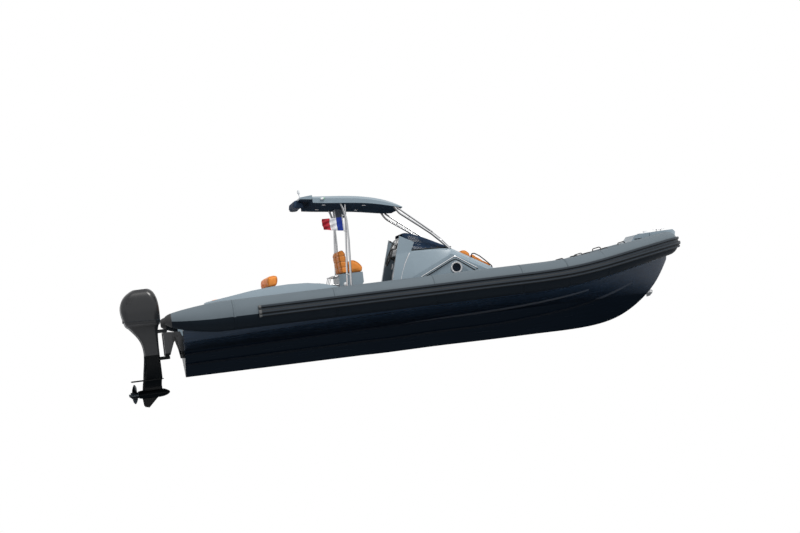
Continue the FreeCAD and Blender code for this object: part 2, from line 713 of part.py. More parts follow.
write("fore_rails", Part.Compound(pair(guard)))
print("console done")

# Steering wheel.

lean = math.radians(WHEEL_LEAN)
AXIS = V(math.cos(lean), 0, -math.sin(lean))
rim = Part.makeTorus(WHEEL_R, 15, WHEEL_C, AXIS)
hub = Part.makeCylinder(42, 34, WHEEL_C - AXIS * 4, AXIS)
spokes = []
for deg in (90, 210, 330):
    a = math.radians(deg)
    side_dir = V(0, 1, 0)
    up_dir = AXIS.cross(side_dir) * -1
    dirn = side_dir * math.cos(a) + up_dir * math.sin(a)
    spokes.append(Part.makeCylinder(9, WHEEL_R - 30, WHEEL_C + AXIS * 10 + dirn * 25, dirn))
wheel = rim.fuse([hub] + spokes)
write("helm_wheel", wheel)
column = Part.makeCylinder(34, 400, WHEEL_C + AXIS * 30.5, AXIS).cut(shell).cut(dash)
column = min(column.Solids, key=lambda s: s.CenterOfMass.x)
write("helm_column", column)

# Hardtop.

# X, half width, edge height, top height, lower edge height
TOP = [
    (2720.0, 1010.0, 2570.0, 2632.0, 2475.0),
    (3300.0, 1040.0, 2500.0, 2585.0, 2405.0),
    (3840.0, 1010.0, 2415.0, 2500.0, 2335.0),
    (4200.0, 900.0, 2318.0, 2395.0, 2262.0),
    (4470.0, 700.0, 2236.0, 2262.0, 2216.0),
]


def top_wire(row):
    x, hw, ez, tz, bz = row
    pts = [(hw - 60, bz), (hw, bz + 6), (hw, ez), (hw - 130, 0.35 * ez + 0.65 * tz), (0.5 * hw, tz)]
    full = pts + [(-y, z) for y, z in reversed(pts)]
    vs = [V(x, y, z) for y, z in full]
    return Part.makePolygon(vs + [vs[0]])


roof = fair([top_wire(row) for row in TOP])
lip = slab_y([(2490, 2578), (2490, 2610), (2725, 2630), (2725, 2548)], -985, 985)
roof = roof.fuse(lip)
lining_wires = []
for x, hw, ez, tz, bz in TOP[:4]:
    xx = x + 40 if x < 3000 else x
    lining_wires.append((xx, hw - 80, bz))


def lining_wire(x, hw, bz, d0, d1):
    vs = [V(x, -hw, bz + d0), V(x, hw, bz + d0), V(x, hw, bz + d1), V(x, -hw, bz + d1)]
    return Part.makePolygon(vs + [vs[0]])


pocket = fair([lining_wire(x, hw, bz, -40, 40) for x, hw, bz in lining_wires])
roof = roof.cut(pocket)
lining = fair([lining_wire(x, hw, bz, 8, 40) for x, hw, bz in lining_wires])
write("hardtop", roof)
write("hardtop_lining", lining)

bag = slab_y([(2400, 2440), (2620, 2440), (2620, 2560), (2480, 2620), (2400, 2620)], -480, 480)
bag = rounded(bag, 42, along(1)).cut(roof).cut(lining)
bag = largest(bag)
write("awning_roll", bag)
speaker = rounded(box(3320, 3520, 450, 650, 2230, 2430), 14, along(2))
speaker = speaker.fuse([rod([(3420, 640, 2262), (3420, 740, 2440)], 8)])
speaker = speaker.cut(roof).cut(lining)
speaker = largest(speaker)
write("roof_speaker", speaker)

# legs: each pair of tubes stands on the sole beside the helm seat
LEG_A = [(3240, -890, 2475), (3257, -890, 2445), (3301, -890, 2291), (3335, -890, 2069), (3330, -890, 1744),
         (3283, -890, 1041), (3236, -890, 290)]
LEG_B = [(3352, -850, 2440), (3339, -850, 2301), (3295, -850, 1866), (3239, -850, 1259), (3152, -850, 290)]
leg_a = rod(LEG_A, 21, 700)
leg_b = rod(LEG_B, 19, 700)
stays = [rod([(3283, -890, 1040), (3200, -850, 1080)], 12)]
leg = leg_a.fuse([leg_b] + stays)
leg = leg.cut(roof).cut(lining).common(box(2500, 4000, -1000, -700, SOLE_Z, 3000))
leg = largest(leg)
write("aft_legs", Part.Compound(pair(leg)))


def strut_point(x, z, y0, y1):
    return (x, y0 + (y1 - y0) * (x - 4325) / 952, z)


MAIN = [(4288, 2262), (4325, 2194), (4377, 2116), (4732, 1847), (4967, 1662), (5142, 1496), (5300, 1330)]
main = rod([strut_point(x, z, -800, -612) for x, z in MAIN], 21, 300)
upper = rod([strut_point(x, z, -752, -600) for x, z in ((4352, 2236), (4379, 2209), (4994, 1697))], 17, 200)
knob = Part.makeSphere(17, V(*strut_point(4994, 1697, -752, -600)))
thin = rod([strut_point(x, z, -752, -600) for x, z in ((4960, 1725), (5150, 1545), (5342, 1325))], 9, 200)
links = [rod([strut_point(x, z, -800, -612), strut_point(x + 16, z + 38, -752, -600)], 9)
         for x, z in ((4560, 1978), (4950, 1676), (5142, 1496))]
strut = main.fuse([upper, knob, thin] + links)
strut = strut.cut(roof).cut(lining).cut(shell).cut(glass).cut(trim)
strut = largest(strut)
write("front_struts", Part.Compound(pair(strut)))

lamp = disc((2606, 0, 2610), (-0.08, 0, 1), 9, 150)
lamp = lamp.fuse([disc((2595, 0, 2752), (-0.08, 0, 1), 20, 16), disc((2594, 0, 2765), (-0.08, 0, 1), 26, 46),
                  disc((2590, 0, 2808), (-0.08, 0, 1), 14, 22)])
lamp = lamp.cut(roof)
lamp = largest(lamp)
side_lamp = rounded(box(2870, 2950, -1056, -990, 2520, 2556), 12)
side_lamp = side_lamp.cut(roof)
side_lamp = max(side_lamp.Solids, key=lambda s: s.BoundBox.YLength)
write("nav_lights", Part.Compound([lamp] + pair(side_lamp)))

# ensign on a short staff clipped to the starboard leg
staff = rod([(3262, -890, 1870), (3262, -890, 2210)], 6)
clips = [box(3262, 3336, -896, -884, z, z + 14) for z in (1882, 2178)]
staff = staff.fuse(clips).cut(leg)
staff = largest(staff)
write("ensign_staff", staff)
ensign = box(2836, 3255.6, -891, -889, 1900, 2160)
write("ensign", ensign)

# Bow.

moulding_z = CROWN_Z + MOULDING_RISE
NOSE_TOP = [(9123, moulding_z - 34), (9239, moulding_z - 21), (9510, moulding_z - 12),
            (NOSE_FRONT - 79, moulding_z)]
half_plan = [(8940, 330), (9480, 322), (NOSE_FRONT - 274, 256), (NOSE_FRONT - 124, 176), (NOSE_FRONT - 44, 96),
             (NOSE_FRONT + 8, 20)]
plan = [(x, -y) for x, y in half_plan] + half_plan[::-1]
nose = slab_y([(9006, 850), (9004, 905), (8988, moulding_z - 200)] + NOSE_TOP
              + [(NOSE_FRONT + 7, moulding_z - 54), (NOSE_FRONT - 15, moulding_z - 90), (NOSE_FRONT - 64, 850)],
              -400, 400)
nose = nose.common(slab_z(plan, 840, moulding_z + 27))
for y0, y1 in ((-400, -296), (296, 400)):
    nose = nose.cut(box(9100, 9262, y0, y1, moulding_z - 127, moulding_z - 107))
rib = slab_y([(9424, 1000), (9456, 1000), (9456, moulding_z - 23), (9424, moulding_z - 23)], -334, -300)
nose = nose.fuse(pair(rib))
for tool in TOOLS:
    nose = nose.cut(tool)
# room for the strake under the front of the moulding
p, t, n, r, f = ARCS[3]
out, up = heading_frame(t)
corners = [p + out * (NOSE_R + a) + up * b for a, b in ((-62, -112), (50, -112), (50, 109), (-62, 109))]
room = Part.Face(Part.makePolygon(corners + [corners[0]]))
nose = nose.cut(room.revolve(p + n * r, t.cross(n), math.degrees(f)))
nose = nose.cut(hull_top)
nose = largest(nose)
write("bow_moulding", nose)

cleat_z = CROWN_Z + BOW_CLEAT_RISE
posts = [disc((x, 0, cleat_z - 65), (0, 0, 1), 10, 64) for x in (9680, 9770)]
foot = box(9655, 9795, -26, 26, cleat_z - 65, cleat_z - 45)
cleat = fuse([rod([(9610, 0, cleat_z), (9840, 0, cleat_z)], 11)] + posts + [foot])
cleat = cleat.cut(nose)
cleat = largest(cleat)
write("bow_cleat", cleat)
plate_z = CROWN_Z + PLATE_RISE
plate = rounded(box(9300, 9550, -92, 92, plate_z - 32, plate_z), 8,
                lambda e: min(v.Point.z for v in e.Vertexes) > plate_z - 12)
plate = plate.fuse(disc((9440, 0, plate_z - 12), (0, 0, 1), 46, 42)).cut(nose)
plate = largest(plate)
write("bow_plate", plate)

lid_k = (deck_top(LID_X1) - deck_top(LID_X0)) / (LID_X1 - LID_X0)
lid_z = deck_top(LID_X0)
lid = slab_y([(LID_X0 + 6, lid_z + 6 * lid_k - LID_T + 0.4), (LID_X1 - 6, lid_z + 394 * lid_k - LID_T + 0.4),
              (LID_X1 - 6, lid_z + 394 * lid_k), (LID_X0 + 6, lid_z + 6 * lid_k)], -244, 244)
lid = rounded(lid, 12, lambda e: e.Length < 30 and abs(e.Vertexes[0].Point.y - e.Vertexes[-1].Point.y) < 1)
write("locker_lid", lid)
LID_HINGE_Z = lid_z + 8.0
knuckles = []
for yc in (-150, 150):
    pin = disc((LID_X0, yc - 32, LID_HINGE_Z), (0, 1, 0), 4, 64)
    lugs = []
    for y0 in (yc - 28, yc + 21):
        lugs.append(disc((LID_X0, y0, LID_HINGE_Z), (0, 1, 0), 7.5, 7))
        lugs.append(box(LID_X0 - 30, LID_X0, y0, y0 + 7, lid_z - 8, LID_HINGE_Z).cut(hull))
    hinges.append(fuse([pin] + lugs))
    knuckle = disc((LID_X0, yc - 20, LID_HINGE_Z), (0, 1, 0), 7.5, 40)
    knuckle = knuckle.fuse(box(LID_X0, LID_X0 + 42, yc - 20, yc + 20, lid_z + 1, LID_HINGE_Z).cut(lid))
    knuckles.append(knuckle.cut(disc((LID_X0, yc - 40, LID_HINGE_Z), (0, 1, 0), 4.4, 80)))
write("lid_knuckles", Part.Compound(knuckles))
write("hinges", Part.Compound(hinges))

# Grab handles and eyes.

handles = []


def handle_on(x, angle, length=180.0, height=52.0):
    """Loop on the starboard collar, at an angle above its inner side."""
    q, d, r = collar_at(x)
    out, up = heading_frame(d)
    a = math.radians(angle)
    n = out * (-math.cos(a)) + up * math.sin(a)
    p0 = q + d * (-length / 2) + n * (r - 10)
    p1 = q + d * (-length / 2 + 12) + n * (r + height)
    p2 = q + d * (length / 2 - 12) + n * (r + height)
    p3 = q + d * (length / 2) + n * (r - 10)
    h = rod([tuple(p0), tuple(p1), tuple(p2), tuple(p3)], 10, 32)
    for tool in TOOLS:
        h = h.cut(tool)
    return largest(h)


for x in (7660, 7940, 8340, 8720):
    handles.append(handle_on(x, 62 if x < 8500 else 70))
write("grab_handles", Part.Compound([one for h in handles for one in pair(h)]))

CLEAT_X = 300.0
CLEAT_Y = -1035.0
CLEAT_Z = deck_top(CLEAT_X)
HORN_Z = CLEAT_Z + 57.0
horn = rod([(CLEAT_X - 110, CLEAT_Y, HORN_Z), (CLEAT_X + 110, CLEAT_Y, HORN_Z)], 11)
horn = fuse([horn] + [disc((x, CLEAT_Y, CLEAT_Z - 5), (0, 0, 1), 10, 60) for x in (CLEAT_X - 35, CLEAT_X + 35)]
            + [box(CLEAT_X - 65, CLEAT_X + 65, CLEAT_Y - 25, CLEAT_Y + 25, CLEAT_Z, CLEAT_Z + 7)])
write("stern_cleats", Part.Compound(pair(largest(horn.cut(hull)))))

# towing eye: a lug ahead of the stem with one cross hole
EYE_R = 13.0
EYE_X = 9405.0
EYE_Z = 22.0
eye = slab_y([(9300, EYE_Z - 97), (EYE_X - 35, EYE_Z - 84), (EYE_X + 20, EYE_Z - 32), (EYE_X + 33, EYE_Z),
              (EYE_X + 25, EYE_Z + 26), (EYE_X, EYE_Z + 36), (9300, EYE_Z + 36)], -9, 9)
eye = eye.cut(hull).cut(disc((EYE_X, -20, EYE_Z), (0, 1, 0), EYE_R, 40))
write("bow_eye", largest(eye))

# Outboards.

COWL = [(560, -985, -395, 160, 90), (620, -1030, -372, 196, 110), (800, -1078, -362, 212, 130),
        (980, -1085, -370, 208, 130), (1110, -1030, -400, 190, 130), (1205, -930, -450, 150, 120),
        (1262, -820, -530, 90, 80)]
LEG = [(559.7, -975, -405, 150, 80), (470, -900, -430, 120, 80), (330, -800, -445, 98, 60), (-250, -770, -452, 74, 50),
       (-455, -800, -452, 62, 50)]


def engine(y):
    """Fixed, tilting, steering and turning solids of one engine on the transom at y."""
    at = FreeCAD.Placement(V(0, y, 0), FreeCAD.Rotation())
    plate = [(0, -130), (0, 270.4), (55, 270.4), (55, 292), (0, 300), (-30, 385), (-118, 385), (-128, 300), (-60, 60),
             (-30, -130)]
    cheeks = [slab_y(plate, s0, s1) for s0, s1 in ((-150, -118), (118, 150))]
    pin = disc((TILT_X, -165, TILT_Z), (0, 1, 0), 19, 330)
    web = box(-12, 0, -118, 118, 60, 110)
    clamp = fuse(cheeks + [pin, web])
    swivel = slab_y([(-45, 372), (-120, 385), (-250, 400), (-345, 400), (-345, -40), (-255, -40), (-160, 200),
                     (-60, 288), (-40, 330)], -60, 60)
    ears = [slab_y([(-38, 300), (-38, 362), (-70, 374), (-150, 374), (-170, 290), (-110, 285)], s0, s1)
            for s0, s1 in ((-110, -59), (59, 110))]
    swivel = swivel.fuse(ears)
    swivel = swivel.cut(disc((TILT_X, -200, TILT_Z), (0, 1, 0), 20, 400))
    swivel = swivel.cut(disc((STEER_X, 0, -100), (0, 0, 1), 27, 600))
    shaft = disc((STEER_X, 0, -110), (0, 0, 1), 26, 580)
    arm = slab_z([(-560, -95), (-330, -60), (-262, -48), (-262, 48), (-330, 60), (-560, 95)], 408, 466)
    yoke = slab_z([(-520, -62), (-330, -50), (-266, -40), (-266, 40), (-330, 50), (-520, 62)], -110, -48)
    mid = fair([rounded_wire(x0, x1, hw, r, z) for z, x0, x1, hw, r in LEG])
    plate_v = slab_z([(-1040, -110), (-980, -165), (-700, -150), (-430, -40), (-430, 40), (-700, 150), (-980, 165),
                      (-1040, 110)], -467, -453)
    strut = fair([rounded_wire(-800, -460, 52, 40, -460), rounded_wire(-830, -480, 30, 28, -600),
                  rounded_wire(-840, -470, 36, 30, -700)])
    body = fair([Part.Wire([Part.makeCircle(rr, V(xx, 0, PROP_Z), V(1, 0, 0))])
                 for xx, rr in ((-930, 58), (-860, 72), (-620, 76), (-460, 66), (-370, 34), (-345, 12))])
    skeg = slab_y([(-860, PROP_Z - 40), (-840, PROP_Z - 230), (-760, PROP_Z - 250), (-560, PROP_Z - 60),
                   (-500, PROP_Z - 20)], -7, 7)
    prop_shaft = disc((-1085, 0, PROP_Z), (1, 0, 0), 15, 200)
    leg = mid.fuse([shaft, arm, yoke, plate_v, strut, body, skeg, prop_shaft])
    cowl = fair([rounded_wire(x0, x1, hw, r, z) for z, x0, x1, hw, r in COWL])
    cowl = cowl.cut(leg)
    hub = disc((-1070, 0, PROP_Z), (1, 0, 0), 52, 135).cut(disc((-1080, 0, PROP_Z), (1, 0, 0), 16, 160))
    blades = []
    for n in range(3):
        wires = []
        for rr, chord, pitch, sweep in ((40, 95, 60, 0), (90, 125, 44, 6), (140, 135, 33, 14), (180, 100, 27, 22),
                                        (PROP_R, 34, 24, 30)):
            a = math.radians(pitch)
            th = 11.0 - rr * 0.035
            pts = []
            for u, w in ((-0.5, 0), (-0.2, 0.5), (0.2, 0.5), (0.5, 0), (0.2, -0.5), (-0.2, -0.5)):
                s = u * chord + sweep
                ax = s * math.sin(a) + w * th * math.cos(a)
                tan = s * math.cos(a) - w * th * math.sin(a)
                pts.append(V(-1003 + ax, tan, PROP_Z + rr))
            wires.append(Part.makePolygon(pts + [pts[0]]))
        blade = Part.makeLoft(wires, True, True)
        blade.rotate(V(0, 0, PROP_Z), V(1, 0, 0), 120 * n + 20)
        blades.append(blade)
    prop = hub.fuse([b.cut(disc((-1200, 0, PROP_Z), (1, 0, 0), 40, 400)) for b in blades])
    out = []
    for s in (clamp, swivel, leg, cowl, prop):
        s = s.copy()
        s.Placement = at.multiply(s.Placement)
        out.append(s)
    return out


clamps = []
for tag, y in (("stbd", -ENGINE_Y), ("port", ENGINE_Y)):
    clamp, swivel, leg_s, cowl, prop = engine(y)
    clamps.append(clamp)
    write("swivel_" + tag, swivel)
    write("engine_leg_" + tag, leg_s)
    write("cowl_" + tag, cowl)
    write("propeller_" + tag, prop)
write("engine_clamps", Part.Compound(clamps))
print("all done")
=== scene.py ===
"""The looks of a fast inflatable boat: finishes, cushions, cloth, trim, light and camera.

Lengths are metres on the boat's own axes: X to the bow, Y to port, Z up from the waterline at the transom.
"""
import json
import math

import bmesh
import bpy
from mathutils import Matrix, Vector
from mathutils.bvhtree import BVHTree


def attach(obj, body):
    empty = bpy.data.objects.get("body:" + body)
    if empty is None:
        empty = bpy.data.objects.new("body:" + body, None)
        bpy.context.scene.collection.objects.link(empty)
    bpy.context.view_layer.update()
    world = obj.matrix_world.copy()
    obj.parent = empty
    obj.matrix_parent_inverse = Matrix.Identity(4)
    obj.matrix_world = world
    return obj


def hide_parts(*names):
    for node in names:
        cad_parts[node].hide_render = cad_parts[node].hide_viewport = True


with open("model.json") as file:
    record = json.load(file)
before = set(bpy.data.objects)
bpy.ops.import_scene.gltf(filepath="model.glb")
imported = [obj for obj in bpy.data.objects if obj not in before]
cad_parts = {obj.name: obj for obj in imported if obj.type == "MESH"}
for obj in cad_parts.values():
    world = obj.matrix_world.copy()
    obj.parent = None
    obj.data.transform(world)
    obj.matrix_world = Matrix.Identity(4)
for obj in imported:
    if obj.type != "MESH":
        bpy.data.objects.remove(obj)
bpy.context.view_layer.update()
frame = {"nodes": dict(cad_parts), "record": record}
NODES = frame["nodes"]
SCENE = bpy.context.scene

# Finishes


class Value:
    """A number that varies over a surface. Arithmetic on it adds Math nodes."""

    def __init__(self, nodes, socket):
        self.nodes = nodes
        self.socket = socket

    def math(self, operation, *values):
        return self.nodes.add("Math", {"operation": operation}, dict(enumerate(values)))

    def __add__(self, other):
        return self.math("ADD", self, other)

    def __sub__(self, other):
        return self.math("SUBTRACT", self, other)

    def __mul__(self, other):
        return self.math("MULTIPLY", self, other)

    def __lt__(self, other):
        return self.math("LESS_THAN", self, other)

    def __gt__(self, other):
        return self.math("GREATER_THAN", self, other)

    def __radd__(self, other):
        return self.math("ADD", other, self)

    def __rsub__(self, other):
        return self.math("SUBTRACT", other, self)

    def __rmul__(self, other):
        return self.math("MULTIPLY", other, self)

    def __abs__(self):
        return self.math("ABSOLUTE", self)

    def either(self, other):
        return self.math("MAXIMUM", self, other)

    def both(self, other):
        return self.math("MINIMUM", self, other)

    def from_line(self, pitch):
        """How far the value is from the nearest of lines spaced by the pitch."""
        return self.math("PINGPONG", self, pitch / 2)

    def step(self, start, end):
        """0 below start, 1 above end and a soft rise between."""
        settings = {"interpolation_type": "SMOOTHSTEP"}
        return self.nodes.add("MapRange", settings, {0: self, 1: start, 2: end})


class NodeTree:
    """The nodes of a material or of the world."""

    def __init__(self, tree):
        self.tree = tree

    def add(self, kind, settings, inputs, out=0):
        """One more node: its settings first, then the values or links of its sockets."""
        node = self.tree.nodes.new("ShaderNode" + kind)
        for name, value in settings.items():
            setattr(node, name, value)
        for socket, value in inputs.items():
            self.put(node.inputs[socket], value)
        return Value(self, node.outputs[out])

    def put(self, socket, value):
        if isinstance(value, Value):
            self.tree.links.new(value.socket, socket)
        elif socket.type == "RGBA":
            socket.default_value = (*value, 1.0)
        else:
            socket.default_value = value

    def blend(self, share, first, second):
        """From the first colour to the second as the share goes from 0 to 1."""
        return self.add("Mix", {"data_type": "RGBA"}, {0: share, 6: first, 7: second}, 2)


class Finish(NodeTree):
    """A material that is being made around its one main shader."""

    def __init__(self, name, **constants):
        self.material = bpy.data.materials.new(name)
        self.material.use_nodes = True
        super().__init__(self.material.node_tree)
        self.shader = self.tree.nodes["Principled BSDF"]
        for socket, value in constants.items():
            self.shader.inputs[socket.replace("_", " ")].default_value = value

    def place(self):
        """The surface point's X, Y and Z on the boat's axes."""
        point = self.add("TexCoord", {}, {}, "Object")
        return [self.add("SeparateXYZ", {}, {0: point}, axis) for axis in "XYZ"]

    def facing(self):
        """The X, Y and Z of the direction that the surface faces."""
        normal = self.add("NewGeometry", {}, {}, "Normal")
        return [self.add("SeparateXYZ", {}, {0: normal}, axis) for axis in "XYZ"]

    def point(self, stretch=(1.0, 1.0, 1.0)):
        """The boat's axes as a vector, stretched for a pattern with a direction."""
        here = self.add("TexCoord", {}, {}, "Object")
        return self.add("Mapping", {}, {"Vector": here, "Scale": stretch})

    def noise(self, scale, detail=3.0, roughness=0.5, stretch=(1.0, 1.0, 1.0)):
        inputs = {"Vector": self.point(stretch), "Scale": scale, "Detail": detail, "Roughness": roughness}
        return self.add("TexNoise", {}, inputs, "Fac")

    def cells(self, scale, feature="F1"):
        inputs = {"Vector": self.point(), "Scale": scale}
        return self.add("TexVoronoi", {"feature": feature}, inputs, "Distance")

    def own(self, name):
        """A number that the piece carries on its own points."""
        return self.add("Attribute", {"attribute_name": name}, {}, "Fac")

    def colour(self, value):
        self.put(self.shader.inputs["Base Color"], value)

    def roughness(self, value):
        self.put(self.shader.inputs["Roughness"], value)

    def relief(self, height, depth):
        """Raised by the height, 0 to 1, times the depth in metres."""
        inputs = {"Height": height, "Distance": depth, "Strength": 1.0}
        self.put(self.shader.inputs["Normal"], self.add("Bump", {}, inputs, "Normal"))


def shade(colour, factor):
    """The same colour, lighter or darker."""
    return tuple(min(1.0, part * factor) for part in colour)


NAVY = (0.0125, 0.0265, 0.0500)
DECK_GREY = (0.235, 0.300, 0.350)
FABRIC_GREY = (0.124, 0.151, 0.172)
ROOF_NAVY = (0.027, 0.046, 0.072)
# charcoal painted shade for the collar's faces turned down
COLLAR_SHADE_CHARCOAL = (0.0065, 0.0105, 0.0155)
RUBBER_BLACK = (0.016, 0.0165, 0.018)
ORANGE = (0.86, 0.305, 0.068)
# painted light on the strake's outward ribs and upper faces
STRAKE_PAINTED_LIGHT = (0.038, 0.049, 0.062)
SCUFFED = (0.046, 0.056, 0.068)
SALT = (0.06, 0.075, 0.09)
THREAD = (0.86, 0.62, 0.38)
NON_SKID = 0.0085
FABRIC_WEAVE = 0.0021
CANVAS_WEAVE = 0.0016
STITCH = 0.009
THREAD_FROM_SEAM = 0.0085
STRIP_WIDTH = 0.062
# places on the boat where a finish changes
ROOF_WALL_X = 2.6
ROOF_WALL_Z = 2.572
SOLE_Z = 0.262
WELL_FRONT_X = 0.3
WELL_BACK_X = 0.7
WELL_HALF = 0.96
LENS_X = (2.926, 3.0)
SIDE_LIGHT_Y = 0.9
# shares of the ensign's fly where its bands meet
RED_TO = 0.37
WHITE_TO = 0.70


def soiled(finish, tint):
    """A gelcoat's mottled and slightly soiled colour, and its grime."""
    grime = finish.noise(11.0, 5.0, 0.65)
    body = finish.blend(finish.noise(2.3, 4.0, 0.6), shade(tint, 0.94), shade(tint, 1.06))
    return finish.blend(grime.step(0.62, 0.85) * 0.22, body, shade(tint, 0.62)), grime


def make_deck_gelcoat(name="Deck_Gelcoat_Grey", tint=DECK_GREY):
    """Satin gelcoat with a faint mottle and a moulded non-skid diamond on the flat tops."""
    finish = Finish(name, Coat_Roughness=0.12, Specular_IOR_Level=0.45)
    x, y = finish.place()[:2]
    body, grime = soiled(finish, tint)
    top = finish.facing()[2].step(0.93, 0.985)
    diamond = (x + y).from_line(NON_SKID).step(0.0006, 0.0017)
    diamond = diamond * (x - y).from_line(NON_SKID).step(0.0006, 0.0017)
    finish.colour(finish.blend((1 - diamond) * top * 0.25, body, shade(tint, 0.7)))
    finish.roughness(0.26 + grime * 0.16 + top * 0.2)
    finish.relief(diamond * top * 0.8 + finish.noise(420.0) * 0.05, 0.0006)
    return finish.material


def make_roof_gelcoat():
    """Deck gelcoat above, dark navy on the underside and the aft wall, with orange peel in the lacquer."""
    finish = Finish("Roof_Gelcoat_Grey", Specular_IOR_Level=0.0, Coat_Roughness=0.2)
    x, z = finish.place()[::2]
    nx, nz = finish.facing()[::2]
    body, grime = soiled(finish, DECK_GREY)
    wall = (nx < -0.6).both(z < ROOF_WALL_Z).both(x > ROOF_WALL_X)
    under = (1 - nz.step(-0.35, -0.05)).either(wall)
    finish.colour(finish.blend(under, body, ROOF_NAVY))
    finish.roughness(0.3 + grime * 0.16 + under * 0.3)
    finish.put(finish.shader.inputs["Coat Weight"], (1 - under) * 0.5)
    finish.relief(finish.noise(140.0), 0.0002)
    return finish.material


def make_hull_gelcoat():
    """Dark navy outside with run marks and a salt line, deck grey inside."""
    finish = Finish("Hull_Gelcoat_Navy", Specular_IOR_Level=0.3, Coat_Roughness=0.08)
    x, y, z = finish.place()
    nx, ny, nz = finish.facing()
    inward = (y * ny) < -0.02
    inner = (nz > 0.55).either(inward)
    inner = inner.either((nx < -0.6).both(x > WELL_FRONT_X))
    inner = inner.either((nx > 0.6).both(x < WELL_BACK_X).both(abs(y) < WELL_HALF))
    inner = inner.both(z > SOLE_Z)
    streaks = finish.noise(5.0, 5.0, 0.62, (0.35, 1.0, 3.2))
    salt = finish.noise(38.0, 5.0, 0.7)
    wet = 1 - abs(z - 0.03).step(0.0, 0.09)
    outside = finish.blend(streaks, shade(NAVY, 0.72), shade(NAVY, 1.55))
    outside = finish.blend(wet * salt.step(0.45, 0.8) * 0.35, outside, SALT)
    inside = finish.blend(streaks, shade(DECK_GREY, 0.92), shade(DECK_GREY, 1.05))
    finish.colour(finish.blend(inner, outside, inside))
    finish.roughness(0.2 + streaks * 0.12 + inner * 0.15 + wet * 0.08)
    finish.relief(finish.noise(160.0, 2.0) * 0.4 + finish.noise(3.0, 2.0) * 0.6, 0.0006)
    return finish.material


def make_collar_fabric():
    """Coated cloth: grey, lighter on its upper faces with painted light, charcoal painted shade on the faces
    turned down below the strake, finely woven, scuffed and faded.
    """
    finish = Finish("Collar_Fabric_Grey", Specular_IOR_Level=0.05)
    x, y, z = finish.place()
    across = x.from_line(FABRIC_WEAVE).step(0.0002, 0.0009)
    along = (y + z * 1.3).from_line(FABRIC_WEAVE).step(0.0002, 0.0009)
    cloud = finish.noise(1.7, 5.0, 0.6)
    scuff = finish.noise(7.0, 6.0, 0.72, (0.5, 1.0, 1.0)).step(0.6, 0.78)
    nz = finish.facing()[2]
    top = nz.step(0.2, 0.95)
    # painted shade: the faces turned down take the charcoal
    under = 1 - nz.step(-0.16, -0.12)
    body = finish.blend(cloud, shade(FABRIC_GREY, 0.9), shade(FABRIC_GREY, 1.1))
    # painted light: the faces turned up are lighter
    body = finish.blend(top * 0.3, body, shade(FABRIC_GREY, 1.3))
    body = finish.blend(scuff * 0.3, body, shade(FABRIC_GREY, 0.72))
    painted_shade_below = finish.blend(cloud, shade(COLLAR_SHADE_CHARCOAL, 0.8), shade(COLLAR_SHADE_CHARCOAL, 1.35))
    finish.colour(finish.blend(under, body, painted_shade_below))
    finish.roughness(0.5 + scuff * 0.14 + cloud * 0.08)
    finish.relief((across + along) * 0.3 + cloud * 0.4, 0.0004)
    return finish.material


def make_strake_rubber():
    """Extruded rubber, drawn lengthwise, black in the grooves, with painted light making the outward ribs and
    the faces turned up paler, and scuffed in places.
    """
    finish = Finish("Strake_Rubber_Black", Specular_IOR_Level=0.12)
    nz = finish.facing()[2]
    drawn = finish.noise(24.0, 4.0, 0.6, (0.05, 1.0, 1.0))
    worn = finish.noise(9.0, 6.0, 0.75).step(0.58, 0.8)
    rib = 1 - abs(nz).step(0.12, 0.4)
    crown = nz.step(0.3, 0.85)
    body = finish.blend(drawn, shade(RUBBER_BLACK, 0.25), shade(RUBBER_BLACK, 0.6))
    # painted light: paler on the outward ribs and on the faces turned up
    body = finish.blend(rib.either(crown) * (0.5 + drawn * 0.5), body, STRAKE_PAINTED_LIGHT)
    finish.colour(finish.blend(worn * 0.3, body, SCUFFED))
    finish.roughness(0.42 + worn * 0.2 + drawn * 0.08)
    finish.relief(drawn * 0.7 + finish.noise(300.0) * 0.3, 0.0005)
    return finish.material


def make_metal(name, tint, low, grain):
    """Bare metal with a painted dark reflection where it faces down, fine polishing lines and faint drying
    marks.
    """
    finish = Finish(name, Metallic=1.0)
    lines = finish.noise(grain, 3.0, 0.6, (1.0, 1.0, 0.08))
    marks = finish.noise(34.0, 5.0, 0.7).step(0.6, 0.82)
    under = 1 - finish.facing()[2].step(-0.35, 0.30)
    body = finish.blend(marks * 0.4, tint, shade(tint, 0.72))
    # painted reflection: dark where the surface faces down
    finish.colour(finish.blend(under * 0.9, body, shade(tint, 0.16)))
    finish.roughness(low + lines * 0.1 + marks * 0.16)
    finish.relief(lines, 0.00006)
    return finish.material


def make_moulded(name, tint, rough, grain=520.0, coat=0.0):
    """Moulded plastic or paint with a fine even grain."""
    finish = Finish(name, Coat_Weight=coat, Coat_Roughness=0.06, Specular_IOR_Level=0.4)
    dust = finish.noise(13.0, 5.0, 0.7)
    finish.colour(finish.blend(dust.step(0.5, 0.85) * 0.4, tint, shade(tint, 1.9)))
    finish.roughness(rough + dust * 0.12)
    finish.relief(finish.cells(grain), 0.00012)
    return finish.material


def make_engine_gloss():
    """Deep black engine paint with a fine metal fleck under its lacquer."""
    finish = Finish("Engine_Paint_Black", Coat_Weight=0.3, Coat_Roughness=0.12, Specular_IOR_Level=0.3)
    fleck = finish.cells(900.0).step(0.02, 0.3)
    dust = finish.noise(5.0, 5.0, 0.65)
    body = finish.blend(fleck, (0.034, 0.036, 0.042), (0.011, 0.012, 0.014))
    finish.colour(finish.blend(dust.step(0.55, 0.85) * 0.3, body, (0.04, 0.042, 0.046)))
    finish.roughness(0.24 + dust * 0.12)
    finish.relief(finish.noise(90.0), 0.0001)
    return finish.material


